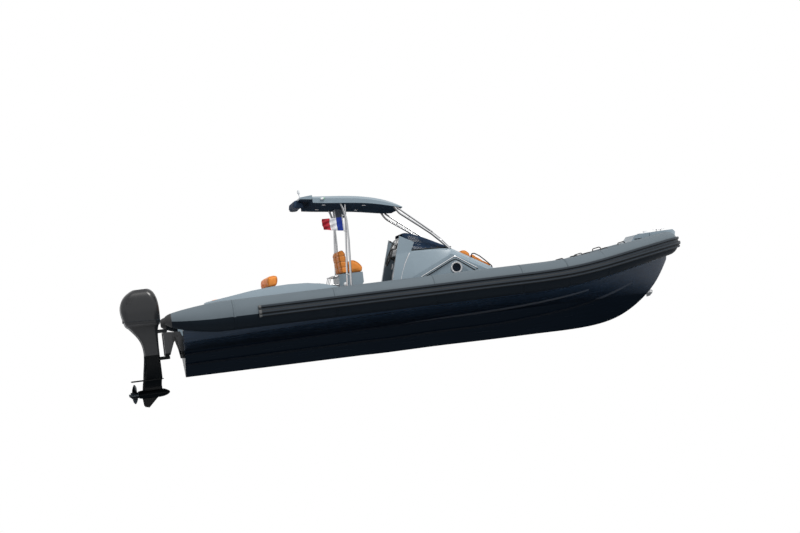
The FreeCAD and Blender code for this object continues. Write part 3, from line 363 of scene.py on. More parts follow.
def make_lining():
    """The roof's dark satin underside, brushed on in long soft bands."""
    finish = Finish("Roof_Lining_Navy", Specular_IOR_Level=0.0)
    cloud = finish.noise(2.0, 4.0, 0.6, (1.0, 3.0, 1.0))
    finish.colour(finish.blend(cloud, shade(ROOF_NAVY, 0.8), shade(ROOF_NAVY, 1.3)))
    finish.roughness(0.52 + cloud * 0.14)
    finish.relief(finish.noise(120.0), 0.0001)
    return finish.material


def make_glass(name, tint, low, high):
    """Tinted pane with wiped streaks of dried salt. Its alpha goes from low to high."""
    finish = Finish(name, Specular_IOR_Level=0.0, Coat_Weight=0.12, Coat_Roughness=0.1)
    streak = finish.noise(3.0, 4.0, 0.6, (0.6, 1.0, 2.4)).step(0.4, 0.8)
    salt = streak * finish.noise(260.0, 2.0).step(0.66, 0.8)
    body = finish.blend(streak, shade(tint, 0.9), shade(tint, 1.12))
    finish.colour(finish.blend(salt * 0.12, body, (0.45, 0.5, 0.56)))
    finish.roughness(0.16 + streak * 0.05 + salt * 0.1)
    finish.put(finish.shader.inputs["Alpha"], low + streak * (high - low))
    finish.relief(finish.noise(3.0), 0.0003)
    return finish.material


def make_leather(name, tint):
    """Stitched marine upholstery: pebbled grain, a low sheen, creases and sewn seams darkened with painted
    shade, and thread along the seams.
    """
    finish = Finish(name, Specular_IOR_Level=0.08)
    x, y, z = finish.place()
    grain = finish.cells(420.0, "DISTANCE_TO_EDGE").step(0.0, 0.09)
    crease = finish.noise(14.0, 6.0, 0.7, (1.0, 0.5, 1.0))
    fade = finish.noise(2.6, 4.0, 0.6)
    seam = finish.own("seam")
    groove = 1 - seam.step(0.0015, 0.0045)
    dashes = (x + y + z).from_line(STITCH).step(0.0012, 0.0019)
    thread = (1 - abs(seam - THREAD_FROM_SEAM).step(0.0008, 0.0017)) * dashes
    body = finish.blend(fade, shade(tint, 0.9), shade(tint, 1.07))
    # painted shade: darker in the creases and in the sewn grooves
    body = finish.blend(crease.step(0.58, 0.8) * 0.28, body, shade(tint, 0.66))
    body = finish.blend(groove * 0.75, body, shade(tint, 0.2))
    finish.colour(finish.blend(thread * 0.8, body, THREAD))
    finish.roughness(0.42 + crease * 0.14 - grain * 0.05)
    height = grain * 0.25 + crease * 0.5 - groove * 1.2 + thread * 0.35
    finish.relief(height, 0.0011)
    return finish.material


def make_canvas():
    """Woven acrylic cover cloth: two thread directions, a little bleached."""
    finish = Finish("Cover_Canvas_Blue", Sheen_Weight=0.05, Specular_IOR_Level=0.08)
    x, y, z = finish.place()
    warp = (x + z).from_line(CANVAS_WEAVE).step(0.0001, 0.0007)
    weft = y.from_line(CANVAS_WEAVE).step(0.0001, 0.0007)
    fade = finish.noise(4.0, 5.0, 0.65)
    body = finish.blend(fade, (0.026, 0.047, 0.084), (0.045, 0.078, 0.135))
    finish.colour(finish.blend((2 - warp - weft) * 0.2, body, (0.012, 0.02, 0.036)))
    finish.roughness(0.72 + fade * 0.14)
    finish.relief(warp * 0.5 + weft * 0.5 + fade, 0.0006)
    return finish.material


def make_matting():
    """Foam deck cover: long strips with black caulking lines and a brushed top."""
    finish = Finish("Deck_Matting_Grey", Specular_IOR_Level=0.25)
    y = finish.place()[1]
    line = 1 - (y + STRIP_WIDTH / 2).from_line(STRIP_WIDTH).step(0.0022, 0.0034)
    brushed = finish.noise(70.0, 4.0, 0.65, (0.06, 1.0, 1.0))
    foot = finish.noise(3.0, 5.0, 0.6)
    body = finish.blend(brushed, (0.105, 0.092, 0.078), (0.175, 0.155, 0.13))
    body = finish.blend(foot.step(0.45, 0.8) * 0.3, body, (0.085, 0.08, 0.074))
    finish.colour(finish.blend(line, body, (0.012, 0.012, 0.013)))
    finish.roughness(0.74 + foot * 0.12)
    finish.relief(brushed * 0.4 - line, 0.0009)
    return finish.material


def make_screen():
    """Switched-off instrument glass with finger marks."""
    finish = Finish("Screen_Glass_Black", Specular_IOR_Level=0.3, Coat_Weight=0.2, Coat_Roughness=0.02)
    smear = finish.noise(9.0, 5.0, 0.7).step(0.5, 0.85)
    finish.colour(finish.blend(smear * 0.4, (0.007, 0.009, 0.014), (0.03, 0.04, 0.055)))
    finish.roughness(0.06 + smear * 0.22)
    finish.relief(finish.noise(40.0), 0.00005)
    return finish.material


def make_flag_cloth():
    """Bunting in three upright bands, woven, with a sewn joint between the bands."""
    finish = Finish("Ensign_Bunting", Sheen_Weight=0.15, Specular_IOR_Level=0.15)
    uv = finish.add("UVMap", {}, {}, "UV")
    u = finish.add("SeparateXYZ", {}, {0: uv}, "X")
    v = finish.add("SeparateXYZ", {}, {0: uv}, "Y")
    thread = finish.noise(700.0, 2.0)
    joint = 1 - abs(u - RED_TO).both(abs(u - WHITE_TO)).step(0.002, 0.006)
    bands = finish.blend(u > RED_TO, (0.40, 0.012, 0.026), (0.78, 0.79, 0.82))
    bands = finish.blend(u > WHITE_TO, bands, (0.012, 0.035, 0.26))
    finish.colour(finish.blend(joint * 0.4 + thread * 0.15, bands, (0.05, 0.05, 0.07)))
    finish.roughness(0.78 + thread * 0.12)
    weave = u.from_line(0.006).step(0.0004, 0.002) + v.from_line(0.009).step(0.0006, 0.003)
    finish.relief(weave * 0.4 + joint, 0.0004)
    return finish.material


def make_lamp():
    """White lamp housings, with a ribbed lens at their front: red to port and green to starboard."""
    finish = Finish("Lamp_Glass", Coat_Weight=0.5, Coat_Roughness=0.04)
    x, y, z = finish.place()
    ribs = z.from_line(0.006).step(0.0004, 0.0018)
    lens = (x > LENS_X[0]).both(x < LENS_X[1])
    tint = finish.blend((y > SIDE_LIGHT_Y).both(lens), (0.80, 0.82, 0.84), (0.55, 0.012, 0.010))
    tint = finish.blend((y < -SIDE_LIGHT_Y).both(lens), tint, (0.010, 0.32, 0.10))
    finish.colour(finish.blend(ribs * 0.3, tint, (0.85, 0.86, 0.88)))
    finish.roughness(0.16 + ribs * 0.1)
    finish.relief(ribs, 0.0005)
    return finish.material


def make_dash():
    """Dark satin instrument moulding with a fine leather-like grain, its blue cast a painted reflection of
    the sky.
    """
    finish = Finish("Dash_Moulding_Painted_Sky", Specular_IOR_Level=0.6, Coat_Weight=0.35, Coat_Roughness=0.22)
    dust = finish.noise(8.0, 5.0, 0.65)
    # painted reflection: the blue-grey stands in for the sky's light
    finish.colour(finish.blend(dust, (0.060, 0.082, 0.108), (0.085, 0.112, 0.145)))
    finish.roughness(0.34 + dust * 0.14)
    finish.relief(finish.cells(600.0), 0.00012)
    return finish.material


FINISH = {
    "hull_gelcoat": make_hull_gelcoat(),
    "deck_gelcoat": make_deck_gelcoat(),
    "collar_fabric": make_collar_fabric(),
    "strake_rubber": make_strake_rubber(),
    "stainless": make_metal("Stainless_Polished", (0.74, 0.75, 0.77), 0.14, 160.0),
    "smoked_glass": make_glass("Windscreen_Smoke", (0.018, 0.034, 0.066), 0.965, 0.985),
    "clear_pane": make_glass("Porthole_Pane", (0.010, 0.016, 0.028), 0.82, 0.92),
    "upholstery": make_leather("Upholstery_Orange", ORANGE),
    "black_plastic": make_moulded("Moulded_Black", (0.016, 0.0165, 0.018), 0.42),
    "lining_gloss": make_lining(),
    "awning_canvas": make_canvas(),
    "engine_gloss": make_engine_gloss(),
    "bracket_paint": make_moulded("Bracket_Paint_Black", (0.022, 0.023, 0.026), 0.36, 260.0, 0.3),
    "prop_steel": make_metal("Propeller_Steel", (0.58, 0.58, 0.58), 0.2, 90.0),
    "matting": make_matting(),
    "screen_glass": make_screen(),
    "flag_cloth": make_flag_cloth(),
    "lamp": make_lamp(),
    "roof": make_roof_gelcoat(),
    "dash": make_dash(),
    "deck_light": make_deck_gelcoat("Deck_Gelcoat_Light", shade(DECK_GREY, 1.35)),
    "collar_tape": make_moulded("Collar_Tape_Grey", (0.085, 0.088, 0.090), 0.55, 700.0),
    # black for the handrails' painted shadow
    "shadow_black": make_moulded("Painted_Shadow_Black", (0.006, 0.0065, 0.008), 0.6, 700.0),
    "button_grey": make_moulded("Moulded_Grey", (0.055, 0.058, 0.063), 0.4),
    "dark_steel": make_metal("Stainless_Dull", (0.42, 0.43, 0.45), 0.3, 160.0),
    "piping": make_leather("Piping_Orange_Dark", shade(ORANGE, 0.62)),
    # white canvas for the ensign's heading, and the painted highlight on the cheeks' creases
    "white_canvas_and_highlight": make_moulded("White_Canvas_And_Painted_Highlight", (0.62, 0.62, 0.64), 0.7, 700.0),
}
# solids that don't wear their slot's usual finish
OWN_FINISH = {
    "hardtop": "roof",
    "dash": "dash",
    # the speaker wears the dash's blue-grey as painted sky light
    "roof_speaker": "dash",
}


def dress_nodes():
    """Every solid from the model gets the finish that the record names for it."""
    for part in frame["record"]["subparts"]:
        mesh = NODES[part["node"]].data
        mesh.materials.clear()
        mesh.materials.append(FINISH[OWN_FINISH.get(part["node"], part["material_slot"])])


# Meshes


def new_object(name, bm):
    """An object in the scene that takes the bmesh's shape."""
    mesh = bpy.data.meshes.new(name)
    bm.to_mesh(mesh)
    bm.free()
    thing = bpy.data.objects.new(name, mesh)
    SCENE.collection.objects.link(thing)
    return thing


def dress(mesh, finish):
    """One finish for the whole mesh, with smooth faces."""
    mesh.materials.clear()
    mesh.materials.append(FINISH[finish])
    for face in mesh.polygons:
        face.use_smooth = True


def new_piece(name, bm, finish, body="boat"):
    """A finished piece riding on a body of the model."""
    piece = new_object(name, bm)
    dress(piece.data, finish)
    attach(piece, body)
    return piece


def prism(bm, outline, plane, low, high):
    """A solid of an outline in the XZ or XY plane, from low to high across it."""
    if plane == "XZ":
        corners = [(a, low, b) for a, b in outline]
        travel = (0, high - low, 0)
    else:
        corners = [(a, b, low) for a, b in outline]
        travel = (0, 0, high - low)
    face = bm.faces.new([bm.verts.new(corner) for corner in corners])
    grown = bmesh.ops.extrude_face_region(bm, geom=[face])["geom"]
    moved = [part for part in grown if isinstance(part, bmesh.types.BMVert)]
    bmesh.ops.translate(bm, verts=moved, vec=travel)
    bmesh.ops.recalc_face_normals(bm, faces=bm.faces)


def round_edges(bm, radius, segments, edges=None):
    bmesh.ops.bevel(bm, geom=edges or bm.edges[:], offset=radius, offset_type="OFFSET", segments=segments,
                    profile=0.5, affect="EDGES", material=-1, clamp_overlap=True)


def edges_of(verts):
    return list({edge for vert in verts for edge in vert.link_edges})


def everything(bm):
    return bm.verts[:] + bm.edges[:] + bm.faces[:]


def block(bm, low, high, radius):
    """A box between two corners, with its edges rounded."""
    size = Vector(high) - Vector(low)
    centre = (Vector(high) + Vector(low)) / 2
    shape = Matrix.Translation(centre) @ Matrix.Diagonal((*size, 1))
    made = bmesh.ops.create_cube(bm, size=1.0, matrix=shape)["verts"]
    round_edges(bm, radius, 2, edges_of(made))


def turned_to(direction, place):
    """The matrix that stands a shape's own Z along a direction at a place."""
    turn = Vector((0, 0, 1)).rotation_difference(Vector(direction)).to_matrix().to_4x4()
    return Matrix.Translation(Vector(place)) @ turn


def drum(bm, place, direction, radius, height, rim=0.0, sides=28, top=None):
    """A round plug, cap or boss that stands on a place along a direction."""
    matrix = turned_to(direction, place) @ Matrix.Translation((0, 0, height / 2))
    ends = {"radius1": radius, "radius2": radius if top is None else top}
    made = bmesh.ops.create_cone(bm, cap_ends=True, segments=sides, depth=height, matrix=matrix, **ends)
    if rim:
        caps = [edge for edge in edges_of(made["verts"])
                if max(len(face.verts) for face in edge.link_faces) > 4]
        round_edges(bm, rim, 2, caps)


def stack(bm, place, direction, steps, sides=28):
    """Drums on one place. Of each step: how far out it starts, its radius, height and rounded rim."""
    for start, radius, height, rim in steps:
        drum(bm, place + direction * start, direction, radius, height, rim, sides)


def tube(points, radius, closed=False):
    """A round bar, piping or wire along a smooth line, as a bmesh."""
    line = bpy.data.curves.new("line", "CURVE")
    line.dimensions = "3D"
    line.bevel_depth = radius
    line.bevel_resolution = 3
    line.use_fill_caps = True
    line.resolution_u = 3
    run = line.splines.new("NURBS")
    run.points.add(len(points) - 1)
    for knot, point in zip(run.points, points):
        knot.co = (*point, 1.0)
    run.order_u = 3
    run.use_cyclic_u = closed
    run.use_endpoint_u = not closed
    holder = bpy.data.objects.new("line", line)
    mesh = bpy.data.meshes.new_from_object(holder)
    bm = bmesh.new()
    bm.from_mesh(mesh)
    bmesh.ops.remove_doubles(bm, verts=bm.verts, dist=0.00002)
    bmesh.ops.recalc_face_normals(bm, faces=bm.faces)
    bpy.data.objects.remove(holder)
    bpy.data.curves.remove(line)
    bpy.data.meshes.remove(mesh)
    return bm


def add_to(bm, other):
    """Joins another bmesh's shape into this one."""
    carrier = bpy.data.meshes.new("carrier")
    other.to_mesh(carrier)
    other.free()
    bm.from_mesh(carrier)
    bpy.data.meshes.remove(carrier)


# Upholstery

SLACK = 0.006
PUFF_CAP = 0.012
CLOTH_FRAMES = 20

SUNPAD = [(0.585, -0.86), (1.535, -0.86), (1.535, 0.86), (0.585, 0.86)]
BOLSTER = [(1.700, 0.9928), (1.880, 1.0063), (1.925, 1.215), (1.712, 1.200)]
SEAT_PAD = [(1.885, 0.7344), (2.385, 0.7143), (2.385, 0.824), (1.885, 0.844)]
HELM_PAD = [(3.305, 1.0954), (3.588, 1.0954), (3.603, 1.185), (3.520, 1.292), (3.410, 1.352),
            (3.305, 1.305)]
HELM_BACK = [(3.188, 1.0954), (3.296, 1.0954), (3.299, 1.300), (3.290, 1.490), (3.250, 1.565),
             (3.176, 1.556), (3.154, 1.480)]
HEAD_REST = [(5.5203, 1.2287), (5.7062, 1.1223), (5.733, 1.182), (5.652, 1.262), (5.574, 1.273),
             (5.530, 1.245)]
LEG_REST = [(5.7122, 1.1189), (6.1122, 0.8898), (6.122, 0.920), (5.953, 1.034), (5.752, 1.184)]
FORE_PAD = [(6.30, -0.84), (7.18, -0.82), (7.18, -0.008), (6.30, -0.008)]
FORE_FRONT = [(7.196, -0.818), (7.9, -0.69), (8.36, -0.51), (8.36, 0.51), (7.9, 0.69), (7.196, 0.818)]
# each pad: the plane of its outline, the outline, low and high across it, edge radius and voxel size
PADS = {
    "sunpad": ("XY", SUNPAD, 0.8004, 0.89, 0.034, 0.018),
    "bolster": ("XZ", BOLSTER, -0.75, 0.75, 0.048, 0.013),
    "seat_pad_starboard": ("XZ", SEAT_PAD, -0.88, -0.30, 0.03, 0.012),
    "seat_pad_middle": ("XZ", SEAT_PAD, -0.29, 0.29, 0.03, 0.012),
    "helm_pad_starboard": ("XZ", HELM_PAD, -0.435, -0.008, 0.024, 0.010),
    "helm_back_starboard": ("XZ", HELM_BACK, -0.435, -0.008, 0.020, 0.010),
    "head_rest": ("XZ", HEAD_REST, -0.43, 0.43, 0.018, 0.010),
    "leg_rest": ("XZ", LEG_REST, -0.455, 0.455, 0.016, 0.011),
    "fore_pad_starboard": ("XY", FORE_PAD, 0.6004, 0.695, 0.03, 0.016),
    "fore_pad_front": ("XY", FORE_FRONT, 0.6004, 0.695, 0.03, 0.018),
}
TWINS = {
    "seat_pad_starboard": "seat_pad_port",
    "helm_pad_starboard": "helm_pad_port",
    "helm_back_starboard": "helm_back_port",
    "fore_pad_starboard": "fore_pad_port",
}
# sewn channels of each pad: the axis across it, and its place on that axis
CHANNELS = {
    "sunpad": [(0, 0.90), (0, 1.22), (1, -0.287), (1, 0.287)],
    "bolster": [(1, -0.25), (1, 0.25)],
    "seat_pad_starboard": [(0, 2.05), (0, 2.22)],
    "seat_pad_middle": [(0, 2.05), (0, 2.22)],
    "helm_pad_starboard": [(1, -0.34), (1, -0.10)],
    "helm_back_starboard": [(2, 1.22), (2, 1.33), (2, 1.44), (1, -0.34), (1, -0.10)],
    "head_rest": [(1, -0.145), (1, 0.145)],
    "leg_rest": [(0, 5.85), (0, 5.98), (1, -0.15), (1, 0.15)],
    "fore_pad_starboard": [(0, 6.59), (0, 6.89), (1, -0.42)],
    "fore_pad_front": [(0, 7.58), (0, 7.96), (1, 0.0)],
}
CHANNEL_DEPTH = 0.007
CHANNEL_HALF = 0.016
OFF_SEAM = 0.05
PIPING_RADIUS = 0.0042
PIPING_STEP = 0.06


def start_pad(name, plane, outline, low, high, edge, voxel):
    """The pad a little smaller than its space, as an even closed mesh ready to be blown up."""
    bm = bmesh.new()
    prism(bm, outline, plane, low, high)
    span = [[min(v.co[i] for v in bm.verts), max(v.co[i] for v in bm.verts)] for i in range(3)]
    centre = Vector([(a + b) / 2 for a, b in span])
    shrink = [1 - 2 * SLACK / (b - a) for a, b in span]
    bmesh.ops.scale(bm, verts=bm.verts, vec=shrink, space=Matrix.Translation(-centre))
    round_edges(bm, edge, 3)
    pad = new_object(name, bm)
    even = pad.modifiers.new("even", "REMESH")
    even.mode = "VOXEL"
    even.voxel_size = voxel
    bake_modifiers(pad)
    return pad


def bake_modifiers(piece):
    """Keeps the shape that the piece's modifiers give it now, and drops them."""
    graph = bpy.context.evaluated_depsgraph_get()
    shape = bpy.data.meshes.new_from_object(piece.evaluated_get(graph))
    old = piece.data
    piece.modifiers.clear()
    piece.data = shape
    shape.name = piece.name
    bpy.data.meshes.remove(old)


def blow_up(pads):
    """Cloth simulation of every pad at once: pressure swells the covers, a cap holds them in their space."""
    rest = {}
    for pad in pads:
        rest[pad.name] = [vert.co.copy() for vert in pad.data.vertices]
        cloth = pad.modifiers.new("cover", "CLOTH")
        cloth.settings.use_pressure = True
        cloth.settings.uniform_pressure_force = 4.0
        cloth.settings.quality = 4
        cloth.settings.effector_weights.gravity = 0.0
        cloth.collision_settings.use_collision = False
        cloth.point_cache.frame_end = CLOTH_FRAMES
    for moment in range(1, CLOTH_FRAMES + 1):
        SCENE.frame_set(moment)
    for pad in pads:
        bake_modifiers(pad)
        for vert, start in zip(pad.data.vertices, rest[pad.name]):
            move = vert.co - start
            if move.length > PUFF_CAP:
                vert.co = start + move * (PUFF_CAP / move.length)
    SCENE.frame_set(1)


def finer_cover(pad):
    """A blown-up cover as a bmesh, rounded once more and with its faces divided."""
    bm = bmesh.new()
    bm.from_mesh(pad.data)
    bmesh.ops.smooth_vert(bm, verts=bm.verts, factor=0.5, use_axis_x=True, use_axis_y=True, use_axis_z=True)
    bmesh.ops.subdivide_edges(bm, edges=bm.edges, cuts=1, use_grid_fill=True, smooth=0.0)
    bm.normal_update()
    return bm


def sew(pad, channels):
    """Pulls the cover in along its channels, and notes how far each point is from them."""
    bm = finer_cover(pad)
    seam = bm.verts.layers.float.new("seam")
    for vert in bm.verts:
        sewn = [abs(vert.co[axis] - place) for axis, place in channels if abs(vert.normal[axis]) < 0.7]
        gap = min(sewn, default=OFF_SEAM)
        vert[seam] = gap
        if vert.normal.z > -0.5:
            vert.co -= vert.normal * CHANNEL_DEPTH * math.exp(-((gap / CHANNEL_HALF) ** 2))
    bm.to_mesh(pad.data)
    bm.free()


def piping(pad, plane, outline, low, high, edge):
    """A piped seam around the pad's top, or around both its ends, lying on the cover."""
    tree = BVHTree.FromObject(pad, bpy.context.evaluated_depsgraph_get())
    rings = []
    levels = [high - edge * 0.3] if plane == "XY" else [low + edge * 0.3, high - edge * 0.3]
    for level in levels:
        ring = []
        for first, second in zip(outline, outline[1:] + outline[:1]):
            steps = max(2, round(math.dist(first, second) / PIPING_STEP))
            for step in range(steps):
                share = step / steps
                a = first[0] + (second[0] - first[0]) * share
                b = first[1] + (second[1] - first[1]) * share
                aim = (a, b, level) if plane == "XY" else (a, level, b)
                ring.append(tree.find_nearest(Vector(aim))[0])
        rings.append(ring)
    bm = bmesh.new()
    for ring in rings:
        add_to(bm, tube(ring, PIPING_RADIUS, closed=True))
    return bm


def mirror_twin(piece, name, finish):
    """The port twin of a starboard pad or its piping."""
    bm = bmesh.new()
    bm.from_mesh(piece.data)
    bmesh.ops.transform(bm, matrix=Matrix.Diagonal((1, -1, 1, 1)), verts=bm.verts)
    bmesh.ops.reverse_faces(bm, faces=bm.faces)
    return new_piece(name, bm, finish)


def upholster():
    """Every cushion on the boat, blown up, sewn and piped."""
    pads = [start_pad(name, *facts) for name, facts in PADS.items()]
    blow_up(pads)
    for pad in pads:
        sew(pad, CHANNELS[pad.name])
        dress(pad.data, "upholstery")
        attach(pad, "boat")
        lines = piping(pad, *PADS[pad.name][:-1])
        edging = new_piece(pad.name + "_piping", lines, "piping")
        if pad.name in TWINS:
            twin = mirror_twin(pad, TWINS[pad.name], "upholstery")
            mirror_twin(edging, TWINS[pad.name] + "_piping", "piping")
    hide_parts("aft_cushions", "helm_cushions", "fore_cushions")


AWNING = [(2.405, 2.445), (2.612, 2.445), (2.612, 2.545), (2.475, 2.612), (2.405, 2.612)]
AWNING_HALF = 0.476
AWNING_MIDDLE = (2.508, 2.528)
AWNING_STRAPS = (-0.40, -0.13, 0.13, 0.40)
STRAP_PULL = 0.008
STRAP_HALF = 0.03
STRAP_POINTS = 28


def furl_awning():
    """The rolled awning in its cover: a soft bag, pulled in by its straps and lightly folded."""
    bag = start_pad("awning_bag", "XZ", AWNING, -AWNING_HALF, AWNING_HALF, 0.04, 0.012)
    blow_up([bag])
    bm = finer_cover(bag)
    for vert in bm.verts:
        gap = min(abs(vert.co.y - place) for place in AWNING_STRAPS)
        vert.co -= vert.normal * STRAP_PULL * math.exp(-((gap / STRAP_HALF) ** 2))
        fold = math.sin(vert.co.y * 61) * 0.5 + math.sin(vert.co.y * 37 + vert.co.z * 24) * 0.5
        vert.co -= vert.normal * 0.0035 * (fold + 1)
        if vert.co.z < 2.50:
            vert.co.z += 0.006 * (1 - (vert.co.y / 0.48) ** 2)
    bm.to_mesh(bag.data)
    bm.free()
    dress(bag.data, "awning_canvas")
    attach(bag, "boat")
    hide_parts("awning_roll")
    strap_awning(bag)


def strap_awning(bag):
    """Webbing straps drawn tight around the rolled awning, each with its buckle."""
    tree = BVHTree.FromObject(bag, bpy.context.evaluated_depsgraph_get())
    straps = bmesh.new()
    for y in AWNING_STRAPS:
        middle = Vector((AWNING_MIDDLE[0], y, AWNING_MIDDLE[1]))
        ring = []
        for step in range(STRAP_POINTS):
            angle = 2 * math.pi * step / STRAP_POINTS
            way = Vector((math.cos(angle), 0, math.sin(angle)))
            place, normal = tree.ray_cast(middle + way * 0.4, -way)[:2]
            ring.append(place + normal * 0.001)
        turn = tube(ring, 0.0028, closed=True)
        for vert in turn.verts:
            vert.co.y = y + (vert.co.y - y) * 4.5
        add_to(straps, turn)
        low = min(ring, key=lambda point: point.x)
        block(straps, low + Vector((-0.007, -0.018, -0.012)), low + Vector((0.003, 0.018, 0.012)), 0.002)
    new_piece("awning_straps", straps, "black_plastic")


# Ensign

ENSIGN_FLY = 0.42
ENSIGN_HOIST = 0.26
# the middle of the ensign's edge at the staff
STAFF_X = 3.252
STAFF_Y = -0.89
STAFF_Z = 2.026


def fly_ensign():
    """Bunting on the short staff, streaming aft in waves that grow towards its free end."""
    bm = bmesh.new()
    bm.loops.layers.uv.verify()
    bmesh.ops.create_grid(bm, x_segments=64, y_segments=28, size=0.5, calc_uvs=True)
    for vert in bm.verts:
        free = 0.5 - vert.co.x
        height = vert.co.y
        swing = 0.034 * free ** 0.8 * math.sin(free * 14.0 + height * 1.9)
        flutter = 0.022 * free * math.sin(free * 9 + height * 15)
        x = STAFF_X - free * ENSIGN_FLY * 0.90 - 0.012 * free * math.sin(height * 4 + 1)
        z = STAFF_Z + height * ENSIGN_HOIST * (1 - 0.20 * free) + 0.034 * free ** 1.4
        vert.co = Vector((x, STAFF_Y + swing + flutter, z))
    ensign = new_piece("ensign_cloth", bm, "flag_cloth")
    thick = ensign.modifiers.new("cloth", "SOLIDIFY")
    thick.thickness = 0.0012
    thick.offset = 0.0
    hem = bmesh.new()
    block(hem, (3.2490, -0.8925, 1.8985), (3.2555, -0.8875, 2.1615), 0.0015)
    band = new_piece("ensign_heading", hem, "white_canvas_and_highlight")
    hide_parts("ensign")


# Fitting to the solids

TREES = {}


def surface(node):
    """A search tree over a solid's skin."""
    if node not in TREES:
        mesh = NODES[node].data
        corners = [vert.co.copy() for vert in mesh.vertices]
        TREES[node] = BVHTree.FromPolygons(corners, [tuple(face.vertices) for face in mesh.polygons])
    return TREES[node]


def touch(node, start, direction):
    """Where a line from a start first meets a solid, and the direction that its skin faces there."""
    place, normal = surface(node).ray_cast(Vector(start), Vector(direction))[:2]
    if place is None:
        raise ValueError(f"nothing of {node} lies along {direction} from {start}")
    if normal.dot(Vector(direction)) > 0:
        normal = -normal
    return place, normal


def skin_of(node):
    """A merged copy of a solid's mesh."""
    bm = bmesh.new()
    bm.from_mesh(NODES[node].data)
    bmesh.ops.remove_doubles(bm, verts=bm.verts, dist=0.00005)
    return bm


def band(node, place, direction, width, lift, thick=0.0015):
    """A strip of the solid's own skin between two planes, raised off it."""
    bm = skin_of(node)
    across = Vector(direction).normalized()
    place = Vector(place)
    for side, low in ((-1, True), (1, False)):
        bmesh.ops.bisect_plane(bm, geom=everything(bm),
                               plane_co=place + across * (side * width / 2), plane_no=across,
                               clear_inner=low, clear_outer=not low)
    bm.normal_update()
    for vert in bm.verts:
        vert.co += vert.normal * lift
    bmesh.ops.solidify(bm, geom=bm.faces[:], thickness=thick)
    return bm


def patch(node, place, normal, length, width, heading, lift=0.0022):
    """A glued patch with rounded ends that follows the skin under it."""
    normal = Vector(normal).normalized()
    along = Vector(heading)
    along = (along - normal * along.dot(normal)).normalized()
    across = normal.cross(along)
    bm = bmesh.new()
    bmesh.ops.create_circle(bm, cap_ends=True, segments=36, radius=1.0)
    for depth in (0.06, 0.3, 0.3, 0.2):
        middle = max(bm.faces, key=lambda face: len(face.verts))
        bmesh.ops.inset_individual(bm, faces=[middle], thickness=depth)
    tree = surface(node)
    for vert in bm.verts:
        a = math.copysign(abs(vert.co.x) ** 0.6, vert.co.x)
        b = math.copysign(abs(vert.co.y) ** 0.6, vert.co.y)
        rim = vert.co.length > 0.97
        aim = Vector(place) + along * (a * length / 2) + across * (b * width / 2)
        found, facing = tree.find_nearest(aim)[:2]
        if facing.dot(normal) < 0:
            facing = -facing
        vert.co = found + facing * (0.0002 if rim else lift)
    bmesh.ops.recalc_face_normals(bm, faces=bm.faces)
    return bm


def collar_at(x):
    """Centre and heading of the collar at a station, read from its solid."""
    middles = []
    for station in (x - 0.03, x + 0.03):
        bm = skin_of("tube_starboard")
        bmesh.ops.bisect_plane(bm, geom=everything(bm), plane_co=(station, 0, 0),
                               plane_no=(1, 0, 0), clear_inner=True)
        cut = [vert.co.copy() for vert in bm.verts if abs(vert.co.x - station) < 0.0002]
        bm.free()
        low = [min(point[i] for point in cut) for i in range(3)]
        high = [max(point[i] for point in cut) for i in range(3)]
        middles.append((Vector(low) + Vector(high)) / 2)
    return (middles[0] + middles[1]) / 2, (middles[1] - middles[0]).normalized()


def both_sides(bm):
    """Adds the mirror image of a starboard shape on the port side."""
    copy = bmesh.ops.duplicate(bm, geom=everything(bm))["geom"]
    twins = [part for part in copy if isinstance(part, bmesh.types.BMVert)]
    faces = [part for part in copy if isinstance(part, bmesh.types.BMFace)]
    bmesh.ops.transform(bm, matrix=Matrix.Diagonal((1, -1, 1, 1)), verts=twins)
    bmesh.ops.reverse_faces(bm, faces=faces)


def screw_head(bm, place, normal, radius):
    """A screw's low dome."""
    drum(bm, place - normal * 0.001, normal, radius, 0.003, sides=12, top=radius * 0.7)


# Collar and strake

SEAM_STATIONS = (0.95, 2.85, 4.75, 6.45, 7.35, 8.15)
VALVE_STATIONS = (1.9, 3.8, 5.7, 7.1)
HANDLE_STATIONS = (7.66, 7.94, 8.34, 8.72)
CONE_STATION = (-0.255, -1.36, 0.594)
TAPE_WIDTH = 0.045
VALVE = ((-0.004, 0.034, 0.009, 0.002), (0.004, 0.025, 0.009, 0.003), (0.012, 0.012, 0.004, 0.001))


def trim_collar():
    """Glued seam tapes, air valves, handle patches and moulded stern cones."""
    tapes = bmesh.new()
    for station in SEAM_STATIONS:
        centre, heading = collar_at(station)
        add_to(tapes, band("tube_starboard", centre, heading, TAPE_WIDTH, 0.0016))
    both_sides(tapes)
    new_piece("collar_seam_tapes", tapes, "collar_fabric")

    cones = band("tube_starboard", CONE_STATION, (1, 0, 0), 0.11, 0.002, 0.003)
    both_sides(cones)
    new_piece("stern_cone_caps", cones, "black_plastic")

    valves = bmesh.new()
    for station in VALVE_STATIONS:
        centre = collar_at(station)[0]
        place, normal = touch("tube_starboard", centre + Vector((0, 0.42, 0.62)), (0, -0.56, -0.83))
        stack(valves, place, normal, VALVE)
    both_sides(valves)
    new_piece("air_valves", valves, "black_plastic")

    feet = bmesh.new()
    for station in HANDLE_STATIONS:
        centre, heading = collar_at(station)
        out = heading.cross(Vector((0, 0, 1))).normalized()
        up = out.cross(heading).normalized()
        angle = math.radians(62 if station < 8.5 else 70)
        side = out * -math.cos(angle) + up * math.sin(angle)
        place, normal = touch("tube_starboard", centre + side * 0.5, -side)
        add_to(feet, patch("tube_starboard", place, normal, 0.30, 0.11, heading))
    both_sides(feet)
    new_piece("handle_patches", feet, "collar_fabric")


def trim_strake():
    """The strake's moulded end caps."""
    ends = band("rub_strake", (1.425, 0, 0.555), (1, 0, 0), 0.05, 0.0025, 0.002)
    new_piece("strake_end_caps", ends, "collar_tape")


# Windows

